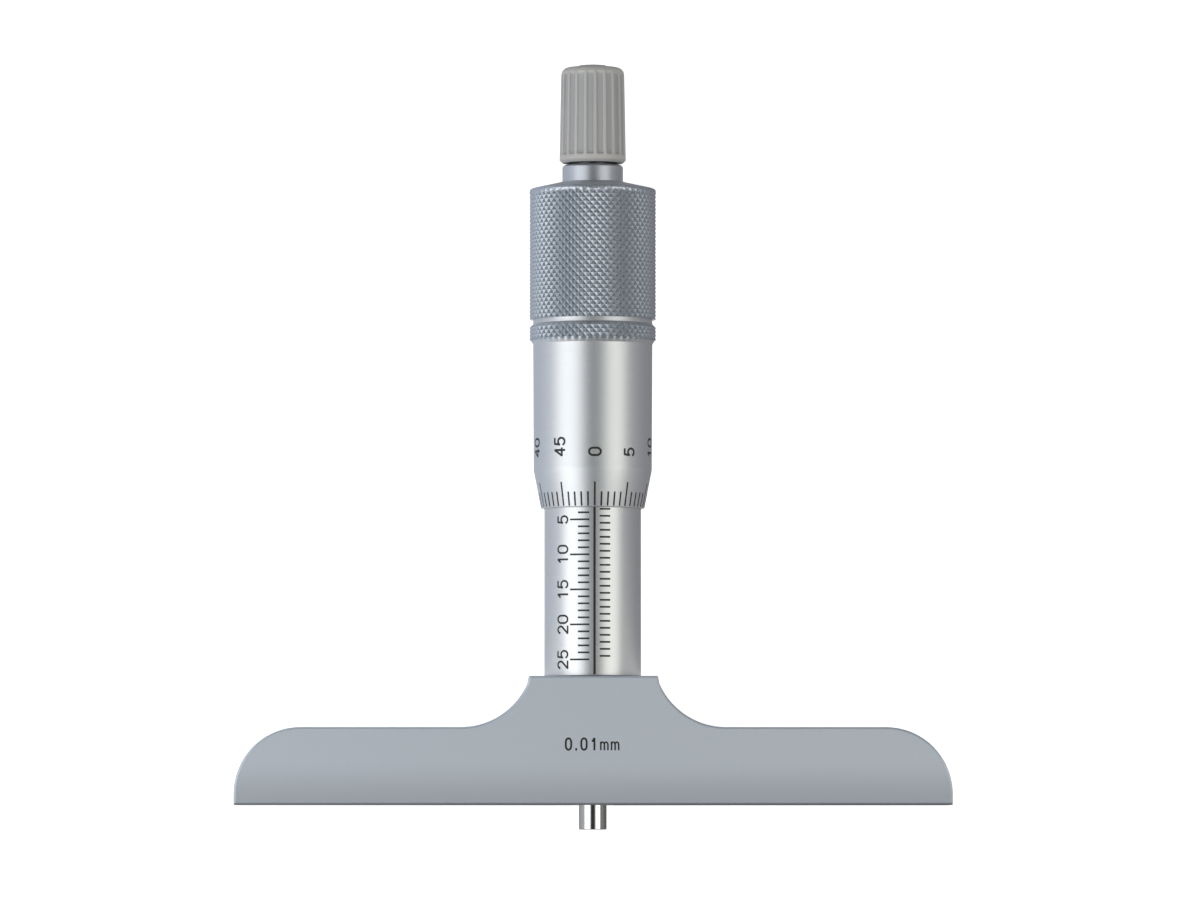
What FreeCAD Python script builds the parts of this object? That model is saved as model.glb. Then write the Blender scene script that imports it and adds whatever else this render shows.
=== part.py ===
import FreeCAD, Part
import math
import os

import Sketcher
from FreeCAD import Vector

# A 0-25 mm depth micrometer, in millimetres, lying on its back.
# The spindle's axis is Y and the ratchet end is +Y. The measuring face of the base is the
# plane Y = 0, X runs along the base and the graduated front looks up, to +Z.
# Every piece is drawn where it stands when the instrument reads the sheet's "reading".

SIZES = [
    ("reading", 3.5, "depth that the scales show, and that the rod stands out"),
    ("travel", 25.0, "full reach of the rod"),
    ("scale_foot", 2.43, "last line of the sleeve's scale over the neck"),
    ("edge_setback", 0.19, "how far the thimble's edge stays behind the line it reads"),
    # base
    ("base_width", 102.5, "length of the measuring face"),
    ("base_wall", 2.0, "wall in front of and behind the inner sleeve"),
    ("arm_height", 11.1, "height of the arms"),
    ("end_flat", 1.6, "flat of the arms' ends below their round"),
    ("neck_rise", 7.3, "height of the neck over the arms"),
    ("neck_wall", 3.2, "wall of the neck beside the inner sleeve"),
    ("neck_side", 1.2, "height of the neck's straight sides"),
    ("neck_lean", 0.26, "how far those sides lean out"),
    ("shoulder_radius", 10.35, "hollow between neck and arm"),
    ("base_bevel", 0.3, "bevel of the base's edges"),
    ("rod_hole_gap", 0.15, "gap round the rod in the measuring face"),
    ("stem_floor", 8.0, "height of the inner sleeve's seat"),
    # fixed sleeves
    ("stem_diameter", 12.0, "outside of the inner sleeve"),
    ("thread_room", 1.2, "room below the thread at full reach"),
    ("nut_foot", 2.6, "start of the inner thread over the neck and the travel"),
    ("slot_floor", 3.0, "floor of the slots over the start of the inner thread"),
    ("taper_foot", 5.0, "start of the taper over the start of the inner thread"),
    ("nut_length", 12.5, "length of the inner thread"),
    ("taper_step", 0.55, "step from the stem down to the taper"),
    ("taper_rise", 0.3, "how much the taper narrows on each side"),
    ("slot_width", 1.0, "each slot of the split end"),
    ("slot_count", 3, "slots round the split end"),
    ("sleeve_wall", 0.92, "wall of the graduated sleeve"),
    ("sleeve_lap", 0.9, "graduated sleeve past the start of the taper"),
    ("spanner_hole", 1.6, "hole at the back for the hook spanner"),
    ("spanner_hole_rise", 5.0, "height of that hole over the neck"),
    ("adjuster_gap", 0.6, "graduated sleeve to adjusting nut"),
    ("adjuster_length", 4.6, "length of the adjusting nut"),
    ("adjuster_room", 0.6, "gap round the adjusting nut"),
    ("adjuster_notch", 1.4, "width of its two spanner notches"),
    ("adjuster_notch_depth", 1.2, "depth of those notches"),
    # spindle
    ("rod_diameter", 4.0, "ground measuring rod"),
    ("rod_bevel", 0.2, "bevel at the rod's end"),
    ("thread_diameter", 6.5, "outside of the 0.5 mm thread"),
    ("cone_length", 4.5, "taper that the thimble seats on"),
    ("cone_drop", 0.65, "how much that taper narrows on each side"),
    ("tapping_spare", 1.0, "tapped hole below the stud"),
    # thimble
    ("bore_gap", 0.15, "gap between the graduated sleeve and the thimble"),
    ("edge_wall", 0.3, "wall of the thimble at its bevelled edge"),
    ("edge_bevel", 0.12, "small bevel of that edge"),
    ("bevel_length", 5.5, "graduated bevel"),
    ("barrel_wall", 1.385, "wall of the barrel where it meets the bevel"),
    ("barrel_length", 18.1, "plain barrel"),
    ("barrel_growth", 0.085, "how much the barrel widens on each side"),
    ("grip_step", 0.53, "step from the barrel to the knurled grip"),
    ("ring_foot", 0.73, "height of the bevel below the narrow knurled ring"),
    ("ring_length", 1.66, "narrow knurled ring"),
    ("groove_depth", 0.54, "depth of the groove above the ring, and its lower bevel"),
    ("groove_length", 0.67, "floor of that groove"),
    ("end_room", 0.91, "room between inner sleeve and end wall at full reach"),
    ("web_thickness", 7.7, "end wall of the thimble"),
    ("grip_round", 0.5, "round of the grip's upper edge"),
    ("grip_rise", 0.9, "rise of the grip's end from that edge to the shank"),
    # ratchet
    ("shank_diameter", 8.72, "bright shank under the knob"),
    ("shank_seat", 1.8, "depth of its seat in the thimble"),
    ("shank_length", 3.33, "part of the shank that shows"),
    ("shank_bevel", 0.25, "bevel of the shank's upper edge"),
    ("stud_diameter", 3.0, "stud that draws the thimble onto the taper"),
    ("stud_length", 5.8, "length of that stud"),
    ("neck_room", 0.55, "gap between the shank's toothed neck and the knob"),
    ("neck_length", 3.1, "toothed neck to the roots of its teeth"),
    ("tooth_height", 0.45, "height of the saw teeth at the rim"),
    ("tooth_count", 12, "saw teeth of the ratchet"),
    ("screw_diameter", 2.0, "screw that holds the knob"),
    ("screw_depth", 5.0, "length of the screw inside the shank"),
    ("head_ledge", 0.55, "ledge of that screw's head"),
    ("head_height", 1.3, "height of that head"),
    ("screw_slot", 0.5, "width and depth of the slot in that head"),
    ("clutch_gap", 0.1, "gap between clutch ring and knob"),
    ("clutch_length", 1.9, "clutch ring over its teeth"),
    ("key_height", 0.4, "keys of the clutch ring, over its rim"),
    ("key_width", 1.2, "width of the keyways in the knob"),
    ("key_count", 3, "keys of the clutch ring"),
    ("spring_diameter", 5.2, "outside of the ratchet spring"),
    ("wire_diameter", 0.4, "wire of that spring"),
    ("wire_sides", 8, "flats that the round wire is drawn with"),
    ("spring_length", 2.6, "fitted length of that spring"),
    ("spring_pitch", 0.7, "pitch of its coils"),
    ("washer_lip", 0.3, "washer past the spring"),
    ("washer_thickness", 0.2, "thickness of that washer"),
    # knob
    ("knob_gap", 0.33, "gap between shank and knob"),
    ("knob_cavity", 7.1, "bore of the knob round the clutch"),
    ("knob_wall", 1.22, "wall of the knob at its foot"),
    ("knob_draft", 0.24, "how much the knob narrows on each side"),
    ("knob_web", 1.0, "wall that the screw holds"),
    ("knob_bevel", 0.4, "bevel of the knob's foot"),
    ("knob_round", 1.1, "round of the knob's head"),
    ("knob_dome", 0.1, "rise of the knob's head"),
    ("flute_foot", 1.2, "plain ring below the flutes"),
    ("flute_head", 1.1, "head of the knob above the flutes"),
    ("flute_width", 1.0, "width of each flute"),
    ("flute_depth", 0.27, "depth of each flute"),
    ("flute_count", 20, "flutes round the knob"),
    ("flute_turn", 12.7, "angle of one flute from the front, in degrees"),
    ("plug_room", 1.25, "room between the screw's head and the plug"),
    ("plug_length", 2.3, "length of the plug's spigot"),
    ("plug_ledge", 0.4, "ledge of the plug's head"),
    ("plug_head", 0.2, "height of the plug's head"),
    # clearances
    ("press_gap", 0.01, "radial gap drawn in each pressed or screwed fit"),
    ("running_gap", 0.03, "radial gap of each turned fit that runs"),
    ("seat_gap", 0.05, "gap between faces that slide or are screwed together"),
    ("free_gap", 0.3, "gap between faces of pieces that move apart"),
]

# Two points nearer than this are the same point
NEAR = 1e-5

doc = FreeCAD.newDocument("depth_micrometer")
sheet = doc.addObject("Spreadsheet::Sheet", "Sizes")
for row, (alias, value, meaning) in enumerate(SIZES, start=1):
    sheet.set(f"A{row}", alias)
    sheet.set(f"B{row}", str(value))
    sheet.setAlias(f"B{row}", alias)
    sheet.set(f"C{row}", meaning)
doc.recompute()


class Length:
    """A length that follows the sheet: its number now, and the expression that gives it."""

    def __init__(self, number, text):
        self.number = number
        self.text = text

    def __add__(self, other):
        other = as_length(other)
        return Length(self.number + other.number, f"({self.text} + {other.text})")

    def __sub__(self, other):
        other = as_length(other)
        return Length(self.number - other.number, f"({self.text} - {other.text})")

    def __mul__(self, factor):
        factor = as_length(factor)
        return Length(self.number * factor.number, f"({self.text} * {factor.text})")

    def __truediv__(self, factor):
        factor = as_length(factor)
        return Length(self.number / factor.number, f"({self.text} / {factor.text})")

    def __neg__(self):
        return Length(-self.number, f"(-{self.text})")


def as_length(value):
    return value if isinstance(value, Length) else Length(value, repr(value))


def size(alias):
    return Length(float(sheet.get(alias)), f"Sizes.{alias}")


def radius(alias):
    return size(alias) / 2


def axis_or_plane(body, role):
    return next(f for f in body.Origin.OriginFeatures if f.Role == role)


def new_body(label):
    body = doc.addObject("PartDesign::Body", label)
    body.Label = label
    return body


def new_sketch(body, name, role="XY_Plane", raised=None):
    """A sketch on one of the body's own planes, or raised from it along the plane's normal."""
    sketch = body.newObject("Sketcher::SketchObject", f"{body.Label}_{name}")
    sketch.AttachmentSupport = [(axis_or_plane(body, role), "")]
    sketch.MapMode = "FlatFace"
    if raised is not None:
        sketch.setExpression("AttachmentOffset.Base.z", raised.text)
    return sketch


def tie(sketch, kind, geometry, point, length):
    """Fix one coordinate of a point to a length that follows the sheet."""
    constraint = Sketcher.Constraint(kind, -1, 1, geometry, point, length.number)
    index = sketch.addConstraint(constraint)
    sketch.setExpression(f"Constraints[{index}]", length.text)


def place(sketch, geometry, point, across, along):
    """Place a point at (across, along). A plain 0 keeps it on the sketch's axis."""
    if isinstance(across, Length):
        tie(sketch, "DistanceX", geometry, point, across)
    else:
        sketch.addConstraint(Sketcher.Constraint("PointOnObject", geometry, point, -2))
    if isinstance(along, Length):
        tie(sketch, "DistanceY", geometry, point, along)
    else:
        sketch.addConstraint(Sketcher.Constraint("PointOnObject", geometry, point, -1))


def outline(sketch, corners):
    """A closed outline of straight lines through corners given as (across, along)."""
    spots = [Vector(as_length(x).number, as_length(y).number, 0) for x, y in corners]
    first = sketch.GeometryCount
    for start, end in zip(spots, spots[1:] + spots[:1]):
        sketch.addGeometry(Part.LineSegment(start, end), False)
    for k, (x, y) in enumerate(corners):
        after = first + (k + 1) % len(corners)
        sketch.addConstraint(Sketcher.Constraint("Coincident", first + k, 2, after, 1))
        place(sketch, first + k, 1, x, y)


def feature(body, kind, name, profile, **settings):
    made = body.newObject(f"PartDesign::{kind}", f"{body.Label}_{name}")
    made.Profile = profile
    for key, value in settings.items():
        if isinstance(value, Length):
            made.setExpression(key, value.text)
        else:
            setattr(made, key, value)
    return made


def turned(label, corners):
    """A body turned about the spindle's axis from an outline of (radius, height) corners."""
    body = new_body(label)
    sketch = new_sketch(body, "profile")
    outline(sketch, corners)
    feature(body, "Revolution", "turned", sketch, ReferenceAxis=(sketch, ["V_Axis"]))
    return body


def repeated(body, name, original, count):
    """The original feature, repeated all round the spindle's axis."""
    ring = body.newObject("PartDesign::PolarPattern", f"{body.Label}_{name}")
    ring.Originals = [original]
    ring.Axis = (axis_or_plane(body, "Y_Axis"), [""])
    ring.Angle = 360
    ring.setExpression("Occurrences", count.text)
    body.Tip = ring
    return ring


def dressed(body, kind, name, base, edges, amount):
    """A fillet or chamfer on the edges that the rule picks from the base feature."""
    doc.recompute()
    picked = [
        f"Edge{k}" for k, edge in enumerate(base.Shape.Edges, start=1) if edges(edge)
    ]
    made = body.newObject(f"PartDesign::{kind}", f"{body.Label}_{name}")
    made.Base = (base, picked)
    made.setExpression("Radius" if kind == "Fillet" else "Size", amount.text)
    return made


def on_circle(height, rim):
    """A rule that picks the circle of radius rim round the spindle's axis at a height."""

    def rule(edge):
        spots = [edge.Vertexes[0].Point, edge.valueAt(edge.FirstParameter)]
        return edge.BoundBox.YLength < NEAR and all(
            abs(spot.y - height.number) < NEAR
            and abs(math.hypot(spot.x, spot.z) - rim.number) < NEAR
            for spot in spots
        )

    return rule


# Radii that several pieces share
rod = radius("rod_diameter")
thread = radius("thread_diameter")
cone_tip = thread - size("cone_drop")
stem = radius("stem_diameter")
taper_large = stem - size("taper_step")
taper_small = taper_large - size("taper_rise")
sleeve_bore = stem + size("running_gap")
sleeve_rim = sleeve_bore + size("sleeve_wall")
thimble_bore = sleeve_rim + size("bore_gap")
shank = radius("shank_diameter")
stud = radius("stud_diameter")
knob_bore = radius("knob_cavity")
tooth_rim = knob_bore - size("neck_room")
clutch_rim = knob_bore - size("clutch_gap")
screw = radius("screw_diameter")
screw_hole = screw + size("seat_gap")
screw_head = screw + size("head_ledge")
head_bore = screw_head + size("seat_gap")
plug_rim = head_bore + size("plug_ledge")

# Heights over the measuring face that several pieces share, from the base upwards
neck_top = size("arm_height") + size("neck_rise")
scale_zero = neck_top + size("travel") + size("scale_foot")
nut_bottom = neck_top + size("travel") + size("nut_foot")
guide_top = nut_bottom - size("travel") - size("thread_room")
taper_bottom = nut_bottom + size("taper_foot")
split_top = nut_bottom + size("nut_length")
sleeve_top = taper_bottom + size("sleeve_lap")
rod_tip = -size("reading")
thread_start = nut_bottom - size("reading")
thimble_edge = scale_zero + size("edge_setback") - size("reading")
barrel_start = thimble_edge + size("bevel_length")
barrel_end = barrel_start + size("barrel_length")
ring_start = barrel_end + size("ring_foot")
ring_end = ring_start + size("ring_length")
groove_start = ring_end + size("groove_depth")
groove_end = groove_start + size("groove_length")
web_floor = split_top + size("travel") - size("reading") + size("end_room")
thimble_top = web_floor + size("web_thickness")
shank_bottom = thimble_top - size("shank_seat")
cone_end = shank_bottom - size("free_gap")
thread_end = cone_end - size("cone_length")
shank_top = thimble_top + size("shank_length")
tooth_root = shank_top + size("neck_length")
tooth_crest = tooth_root + size("tooth_height")
clutch_bottom = tooth_crest + size("running_gap")
clutch_top = clutch_bottom + size("clutch_length")
spring_bottom = clutch_top + size("seat_gap")
spring_top = spring_bottom + size("spring_length")
web_bottom = spring_top + size("washer_thickness")
web_top = web_bottom + size("knob_web")
screw_seat = web_top + size("seat_gap")
screw_top = screw_seat + size("head_height")
plug_bottom = screw_top + size("plug_room")
knob_bottom = shank_top + size("knob_gap")
knob_top = plug_bottom + size("plug_length")


def make_base():
    """The hardened base: one half drawn and padded, mirrored, then bored for the sleeve."""
    body = new_body("base")
    sketch = new_sketch(body, "outline")
    end = size("base_width") / 2
    arm = size("arm_height")
    bend = arm - size("end_flat")
    hollow = size("shoulder_radius")
    neck = stem + size("neck_wall")
    flank = neck + size("neck_lean")
    flank_foot = neck_top - size("neck_side")
    drop = hollow.number - (flank_foot - arm).number
    foot = flank.number + math.sqrt(hollow.number**2 - drop**2)
    lines = [
        ((0, 0), (end.number, 0)),
        ((end.number, 0), (end.number, (arm - bend).number)),
        (((end - bend).number, arm.number), (foot, arm.number)),
        ((flank.number, flank_foot.number), (neck.number, neck_top.number)),
        ((neck.number, neck_top.number), (0, neck_top.number)),
        ((0, neck_top.number), (0, 0)),
    ]
    for start, finish in lines:
        sketch.addGeometry(Part.LineSegment(Vector(*start, 0), Vector(*finish, 0)), False)
    bottom, side, arm_line, flank_line, neck_line, middle = range(len(lines))
    centre = Vector((end - bend).number, (arm - bend).number, 0)
    circle = Part.Circle(centre, Vector(0, 0, 1), bend.number)
    round_end = sketch.addGeometry(Part.ArcOfCircle(circle, 0, math.pi / 2), False)
    centre = Vector(foot, arm.number + hollow.number, 0)
    circle = Part.Circle(centre, Vector(0, 0, 1), hollow.number)
    upper = math.atan2(flank_foot.number - centre.y, flank.number - centre.x) + 2 * math.pi
    shoulder = sketch.addGeometry(Part.ArcOfCircle(circle, upper, 1.5 * math.pi), False)
    for first, first_end, second, second_end in [
        (bottom, 2, side, 1),
        (neck_line, 2, middle, 1),
        (middle, 2, bottom, 1),
        (shoulder, 1, flank_line, 1),
        (flank_line, 2, neck_line, 1),
    ]:
        joint = Sketcher.Constraint("Coincident", first, first_end, second, second_end)
        sketch.addConstraint(joint)
    for arc, arc_end, line, line_end in [
        (round_end, 1, side, 2),
        (round_end, 2, arm_line, 1),
        (shoulder, 2, arm_line, 2),
    ]:
        smooth = Sketcher.Constraint("Tangent", arc, arc_end, line, line_end)
        sketch.addConstraint(smooth)
    for arc, length in [(round_end, bend), (shoulder, hollow)]:
        index = sketch.addConstraint(Sketcher.Constraint("Radius", arc, length.number))
        sketch.setExpression(f"Constraints[{index}]", length.text)
    place(sketch, bottom, 1, 0, 0)
    place(sketch, bottom, 2, end, 0)
    place(sketch, flank_line, 1, flank, flank_foot)
    place(sketch, neck_line, 1, neck, neck_top)
    place(sketch, middle, 1, 0, neck_top)
    sketch.addConstraint(Sketcher.Constraint("Vertical", side))
    sketch.addConstraint(Sketcher.Constraint("Horizontal", arm_line))
    tie(sketch, "DistanceY", arm_line, 1, arm)
    thickness = (stem + size("base_wall")) * 2
    half = feature(body, "Pad", "half", sketch, SideType="Symmetric", Length=thickness)
    whole = body.newObject("PartDesign::Mirrored", "base_whole")
    whole.Originals = [half]
    whole.MirrorPlane = (axis_or_plane(body, "YZ_Plane"), [""])
    body.Tip = whole

    def rim(edge):
        spots = [vertex.Point for vertex in edge.Vertexes]
        face = thickness.number / 2
        on_front = all(abs(spot.z - face) < NEAR for spot in spots)
        on_back = all(abs(spot.z + face) < NEAR for spot in spots)
        on_foot = all(abs(spot.y) < NEAR for spot in spots)
        return on_front or on_back or on_foot

    bevel = size("base_bevel")
    dressed(body, "Chamfer", "bevels", whole, rim, bevel)
    bore = new_sketch(body, "bore")
    rod_hole = rod + size("rod_hole_gap")
    stem_hole = stem + size("press_gap")
    outline(
        bore,
        [
            (0, -bevel),
            (rod_hole + bevel * 2, -bevel),
            (rod_hole, bevel),
            (rod_hole, size("stem_floor")),
            (stem_hole, size("stem_floor")),
            (stem_hole, neck_top + bevel),
            (0, neck_top + bevel),
        ],
    )
    feature(body, "Groove", "bored", bore, ReferenceAxis=(bore, ["V_Axis"]))
    return body


def make_inner_sleeve():
    """The fixed nut body: guides the rod below, threaded and split above."""
    guide = rod + size("running_gap")
    tapped = thread + size("running_gap")
    relief = tapped + size("free_gap")
    body = turned(
        "inner_sleeve",
        [
            (guide, size("stem_floor")),
            (stem, size("stem_floor")),
            (stem, taper_bottom),
            (taper_large, taper_bottom),
            (taper_small, split_top),
            (tapped, split_top),
            (tapped, nut_bottom),
            (relief, nut_bottom),
            (relief, guide_top),
            (guide, guide_top),
        ],
    )
    slot = new_sketch(body, "slot")
    side = size("slot_width") / 2
    floor = nut_bottom + size("slot_floor")
    above = split_top + size("free_gap")
    outline(slot, [(-side, floor), (side, floor), (side, above), (-side, above)])
    depth = size("stem_diameter")
    cut = feature(body, "Pocket", "slit", slot, Length=depth, Reversed=True)
    repeated(body, "slits", cut, size("slot_count"))
    return body


def make_adjusting_nut():
    """The ring nut whose tapered thread closes the split end on the spindle's thread."""
    low = sleeve_top + size("adjuster_gap")
    high = low + size("adjuster_length")
    slope = size("taper_rise") / (split_top - taper_bottom)

    def bore(height):
        return taper_large - slope * (height - taper_bottom) + size("press_gap")

    rim = thimble_bore - size("adjuster_room")
    body = turned(
        "adjusting_nut", [(bore(low), low), (rim, low), (rim, high), (bore(high), high)]
    )
    notch = new_sketch(body, "notch")
    side = size("adjuster_notch") / 2
    floor = high - size("adjuster_notch_depth")
    above = high + size("free_gap")
    outline(notch, [(-side, floor), (side, floor), (side, above), (-side, above)])
    across = (rim + size("free_gap")) * 2
    feature(body, "Pocket", "notches", notch, SideType="Symmetric", Length=across)
    return body


def make_outer_sleeve():
    """The graduated sleeve, which grips the inner sleeve and is turned to set zero."""
    low = neck_top + size("seat_gap")
    body = turned(
        "outer_sleeve",
        [(sleeve_bore, low), (sleeve_rim, low), (sleeve_rim, sleeve_top), (sleeve_bore, sleeve_top)],
    )
    hole = new_sketch(body, "spanner_hole")
    height = neck_top + size("spanner_hole_rise")
    drill = radius("spanner_hole")
    circle = Part.Circle(Vector(0, height.number, 0), Vector(0, 0, 1), drill.number)
    hole.addGeometry(circle, False)
    index = hole.addConstraint(Sketcher.Constraint("Radius", 0, drill.number))
    hole.setExpression(f"Constraints[{index}]", drill.text)
    place(hole, 0, 3, 0, height)
    feature(body, "Pocket", "drilled", hole, Length=sleeve_rim + size("free_gap"))
    return body


def make_spindle():
    """Rod, thread and taper, turned and ground as one piece, tapped at the far end."""
    bevel = size("rod_bevel")
    tapping = shank_bottom - size("stud_length") - size("tapping_spare")
    return turned(
        "spindle",
        [
            (0, rod_tip),
            (rod - bevel, rod_tip),
            (rod, rod_tip + bevel),
            (rod, thread_start),
            (thread, thread_start),
            (thread, thread_end),
            (cone_tip, cone_end),
            (stud, cone_end),
            (stud, tapping),
            (0, tapping - size("free_gap")),
        ],
    )


def make_thimble():
    """The thimble: graduated bevel, barrel, knurled ring, groove and knurled grip."""
    edge = thimble_bore + size("edge_wall")
    barrel = thimble_bore + size("barrel_wall")
    barrel_upper = barrel + size("barrel_growth")
    grip = barrel_upper + size("grip_step")
    floor = grip - size("groove_depth")
    seat = shank + size("press_gap")
    taper = thread + size("running_gap")
    taper_end = cone_tip + size("running_gap")
    body = turned(
        "thimble",
        [
            (thimble_bore, thimble_edge),
            (edge, thimble_edge),
            (barrel, barrel_start),
            (barrel_upper, barrel_end),
            (grip, ring_start),
            (grip, ring_end),
            (floor, groove_start),
            (floor, groove_end),
            (grip, groove_end),
            (grip, thimble_top),
            (seat, thimble_top + size("grip_rise")),
            (seat, shank_bottom),
            (taper_end, shank_bottom),
            (taper_end, cone_end),
            (taper, thread_end),
            (taper, web_floor),
            (thimble_bore, web_floor),
        ],
    )
    rim = on_circle(thimble_top, grip)
    crown = dressed(body, "Fillet", "crown", body.Tip, rim, size("grip_round"))
    rim = on_circle(thimble_edge, edge)
    dressed(body, "Chamfer", "edge", crown, rim, size("edge_bevel"))
    return body


def tooth_space(sketch, distance, gap):
    """The space between two saw teeth, as seen from the axis at a distance along Z.

    Its sides are planes through the axis. Its floor climbs from the root on one side to the
    crest on the other, in step with the distance. The gap draws it smaller, for the tooth
    that runs in it.
    """
    count = size("tooth_count")
    half_angle = Length(math.tan(math.pi / count.number), f"tan(180 / {count.text})")
    side = distance * half_angle
    climb = size("tooth_height") * distance / tooth_rim
    above = clutch_bottom + size("free_gap")
    outline(
        sketch,
        [
            (-side, tooth_root + climb + gap),
            (side - gap, tooth_root + gap),
            (side - gap, above),
            (-side, above),
        ],
    )


def saw_teeth(body, kind, near, far, gap):
    """Saw-tooth spaces cut from, or saw teeth added to, the end of a turned piece."""
    inner = new_sketch(body, "inner_end", raised=near)
    outer = new_sketch(body, "outer_end", raised=far)
    tooth_space(inner, near, gap)
    tooth_space(outer, far, gap)
    loft = feature(body, kind, "tooth", inner, Sections=[outer], Ruled=True)
    return repeated(body, "teeth", loft, size("tooth_count"))


def make_ratchet_body():
    """The bright shank, screwed to the spindle's end, with saw teeth on its neck."""
    bevel = size("shank_bevel")
    thin_stud = stud - size("running_gap")
    hole_end = tooth_root - size("screw_depth")
    body = turned(
        "ratchet_body",
        [
            (0, shank_bottom - size("stud_length")),
            (thin_stud, shank_bottom - size("stud_length")),
            (thin_stud, shank_bottom),
            (shank, shank_bottom),
            (shank, shank_top - bevel),
            (shank - bevel, shank_top),
            (tooth_rim, shank_top),
            (tooth_rim, tooth_crest),
            (screw, tooth_crest),
            (screw, hole_end),
            (0, hole_end),
        ],
    )
    outside = tooth_rim + size("seat_gap")
    saw_teeth(body, "SubtractiveLoft", screw / 2, outside, as_length(0.0))
    return body


def make_clutch_ring():
    """The ring that the spring holds in the teeth. Its keys slide in the knob."""
    body = turned(
        "clutch_ring",
        [
            (screw_hole, clutch_bottom),
            (clutch_rim, clutch_bottom),
            (clutch_rim, clutch_top),
            (screw_hole, clutch_top),
        ],
    )
    near = screw_hole + size("seat_gap")
    saw_teeth(body, "AdditiveLoft", near, tooth_rim, size("running_gap"))
    key = new_sketch(body, "key", raised=clutch_rim - size("key_height"))
    side = size("key_width") / 2 - size("seat_gap")
    outline(
        key,
        [(-side, clutch_bottom), (side, clutch_bottom), (side, clutch_top), (-side, clutch_top)],
    )
    tongue = feature(body, "Pad", "tongue", key, Length=size("key_height") * 2)
    repeated(body, "tongues", tongue, size("key_count"))
    return body


def make_ratchet_spring():
    """The coil spring that presses the clutch ring into the teeth."""
    body = new_body("ratchet_spring")
    wire = radius("wire_diameter")
    section = new_sketch(body, "wire")
    across = radius("spring_diameter") - wire
    start = spring_bottom + wire
    sides = round(size("wire_sides").number)
    corner = wire / math.cos(math.pi / sides)
    turns = [(2 * k + 1) * math.pi / sides for k in range(sides)]
    outline(
        section,
        [(across + corner * math.cos(turn), start + corner * math.sin(turn)) for turn in turns],
    )
    feature(
        body,
        "AdditiveHelix",
        "coils",
        section,
        ReferenceAxis=(section, ["V_Axis"]),
        Mode="pitch-height-angle",
        Pitch=size("spring_pitch"),
        Height=size("spring_length") - wire * 2,
    )
    return body


def make_spring_washer():
    """The thin washer between the spring and the knob's inner wall."""
    rim = radius("spring_diameter") + size("washer_lip")
    low, high = spring_top, web_bottom
    return turned(
        "spring_washer", [(screw_hole, low), (rim, low), (rim, high), (screw_hole, high)]
    )


def knob_radius(height):
    """The knob narrows evenly from its foot to its head."""
    slope = size("knob_draft") / (knob_top - knob_bottom)
    return knob_bore + size("knob_wall") - slope * (height - knob_bottom)


def make_ratchet_knob():
    """The moulded knob: tapered and fluted, stepped inside for clutch, spring and screw."""
    bevel = size("knob_bevel")
    shoulder = knob_top - size("knob_dome")
    head = knob_radius(shoulder)
    body = turned(
        "ratchet_knob",
        [
            (knob_bore, knob_bottom),
            (knob_radius(knob_bottom) - bevel, knob_bottom),
            (knob_radius(knob_bottom + bevel), knob_bottom + bevel),
            (head, shoulder),
            (plug_rim, knob_top),
            (head_bore, knob_top),
            (head_bore, web_top),
            (screw_hole, web_top),
            (screw_hole, web_bottom),
            (knob_bore, web_bottom),
        ],
    )
    rim = on_circle(shoulder, head)
    dressed(body, "Fillet", "crown", body.Tip, rim, size("knob_round"))
    flute = new_sketch(body, "flute", role="YZ_Plane")
    turn = FreeCAD.Rotation(Vector(1, 0, 0), size("flute_turn").number)
    flute.AttachmentOffset = FreeCAD.Placement(Vector(0, 0, 0), turn)
    flute.setExpression("AttachmentOffset.Rotation.Angle", size("flute_turn").text)
    low = knob_bottom + size("flute_foot")
    high = knob_top - size("flute_head")
    outside = knob_radius(knob_bottom) + size("free_gap")
    outline(
        flute,
        [
            (low, knob_radius(low) - size("flute_depth")),
            (high, knob_radius(high) - size("flute_depth")),
            (high, outside),
            (low, outside),
        ],
    )
    width = size("flute_width")
    cut = feature(body, "Pocket", "flute_cut", flute, SideType="Symmetric", Length=width)
    repeated(body, "flutes", cut, size("flute_count"))
    key = new_sketch(body, "keyway", raised=clutch_rim - size("key_height"))
    side = size("key_width") / 2
    outline(
        key,
        [(-side, knob_bottom), (side, knob_bottom), (side, web_bottom), (-side, web_bottom)],
    )
    depth = size("key_height") * 2 + size("seat_gap")
    keyway = feature(body, "Pocket", "keyway_cut", key, Length=depth, Reversed=True)
    repeated(body, "keyways", keyway, size("key_count"))
    return body


def make_ratchet_screw():
    """The slotted screw that holds the knob on the shank."""
    body_radius = screw - size("press_gap")
    low = tooth_root - size("screw_depth") + size("seat_gap")
    body = turned(
        "ratchet_screw",
        [
            (0, low),
            (body_radius, low),
            (body_radius, screw_seat),
            (screw_head, screw_seat),
            (screw_head, screw_top),
            (0, screw_top),
        ],
    )
    slot = new_sketch(body, "slot")
    side = size("screw_slot") / 2
    floor = screw_top - size("screw_slot")
    above = screw_top + size("free_gap")
    outline(slot, [(-side, floor), (side, floor), (side, above), (-side, above)])
    across = (screw_head + size("free_gap")) * 2
    feature(body, "Pocket", "slotted", slot, SideType="Symmetric", Length=across)
    return body


def make_knob_plug():
    """The small plug that closes the knob over its screw."""
    spigot = head_bore - size("press_gap")
    top = knob_top + size("plug_head")
    return turned(
        "knob_plug",
        [
            (0, plug_bottom),
            (spigot, plug_bottom),
            (spigot, knob_top),
            (plug_rim, knob_top),
            (plug_rim, top),
            (0, top),
        ],
    )


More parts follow.
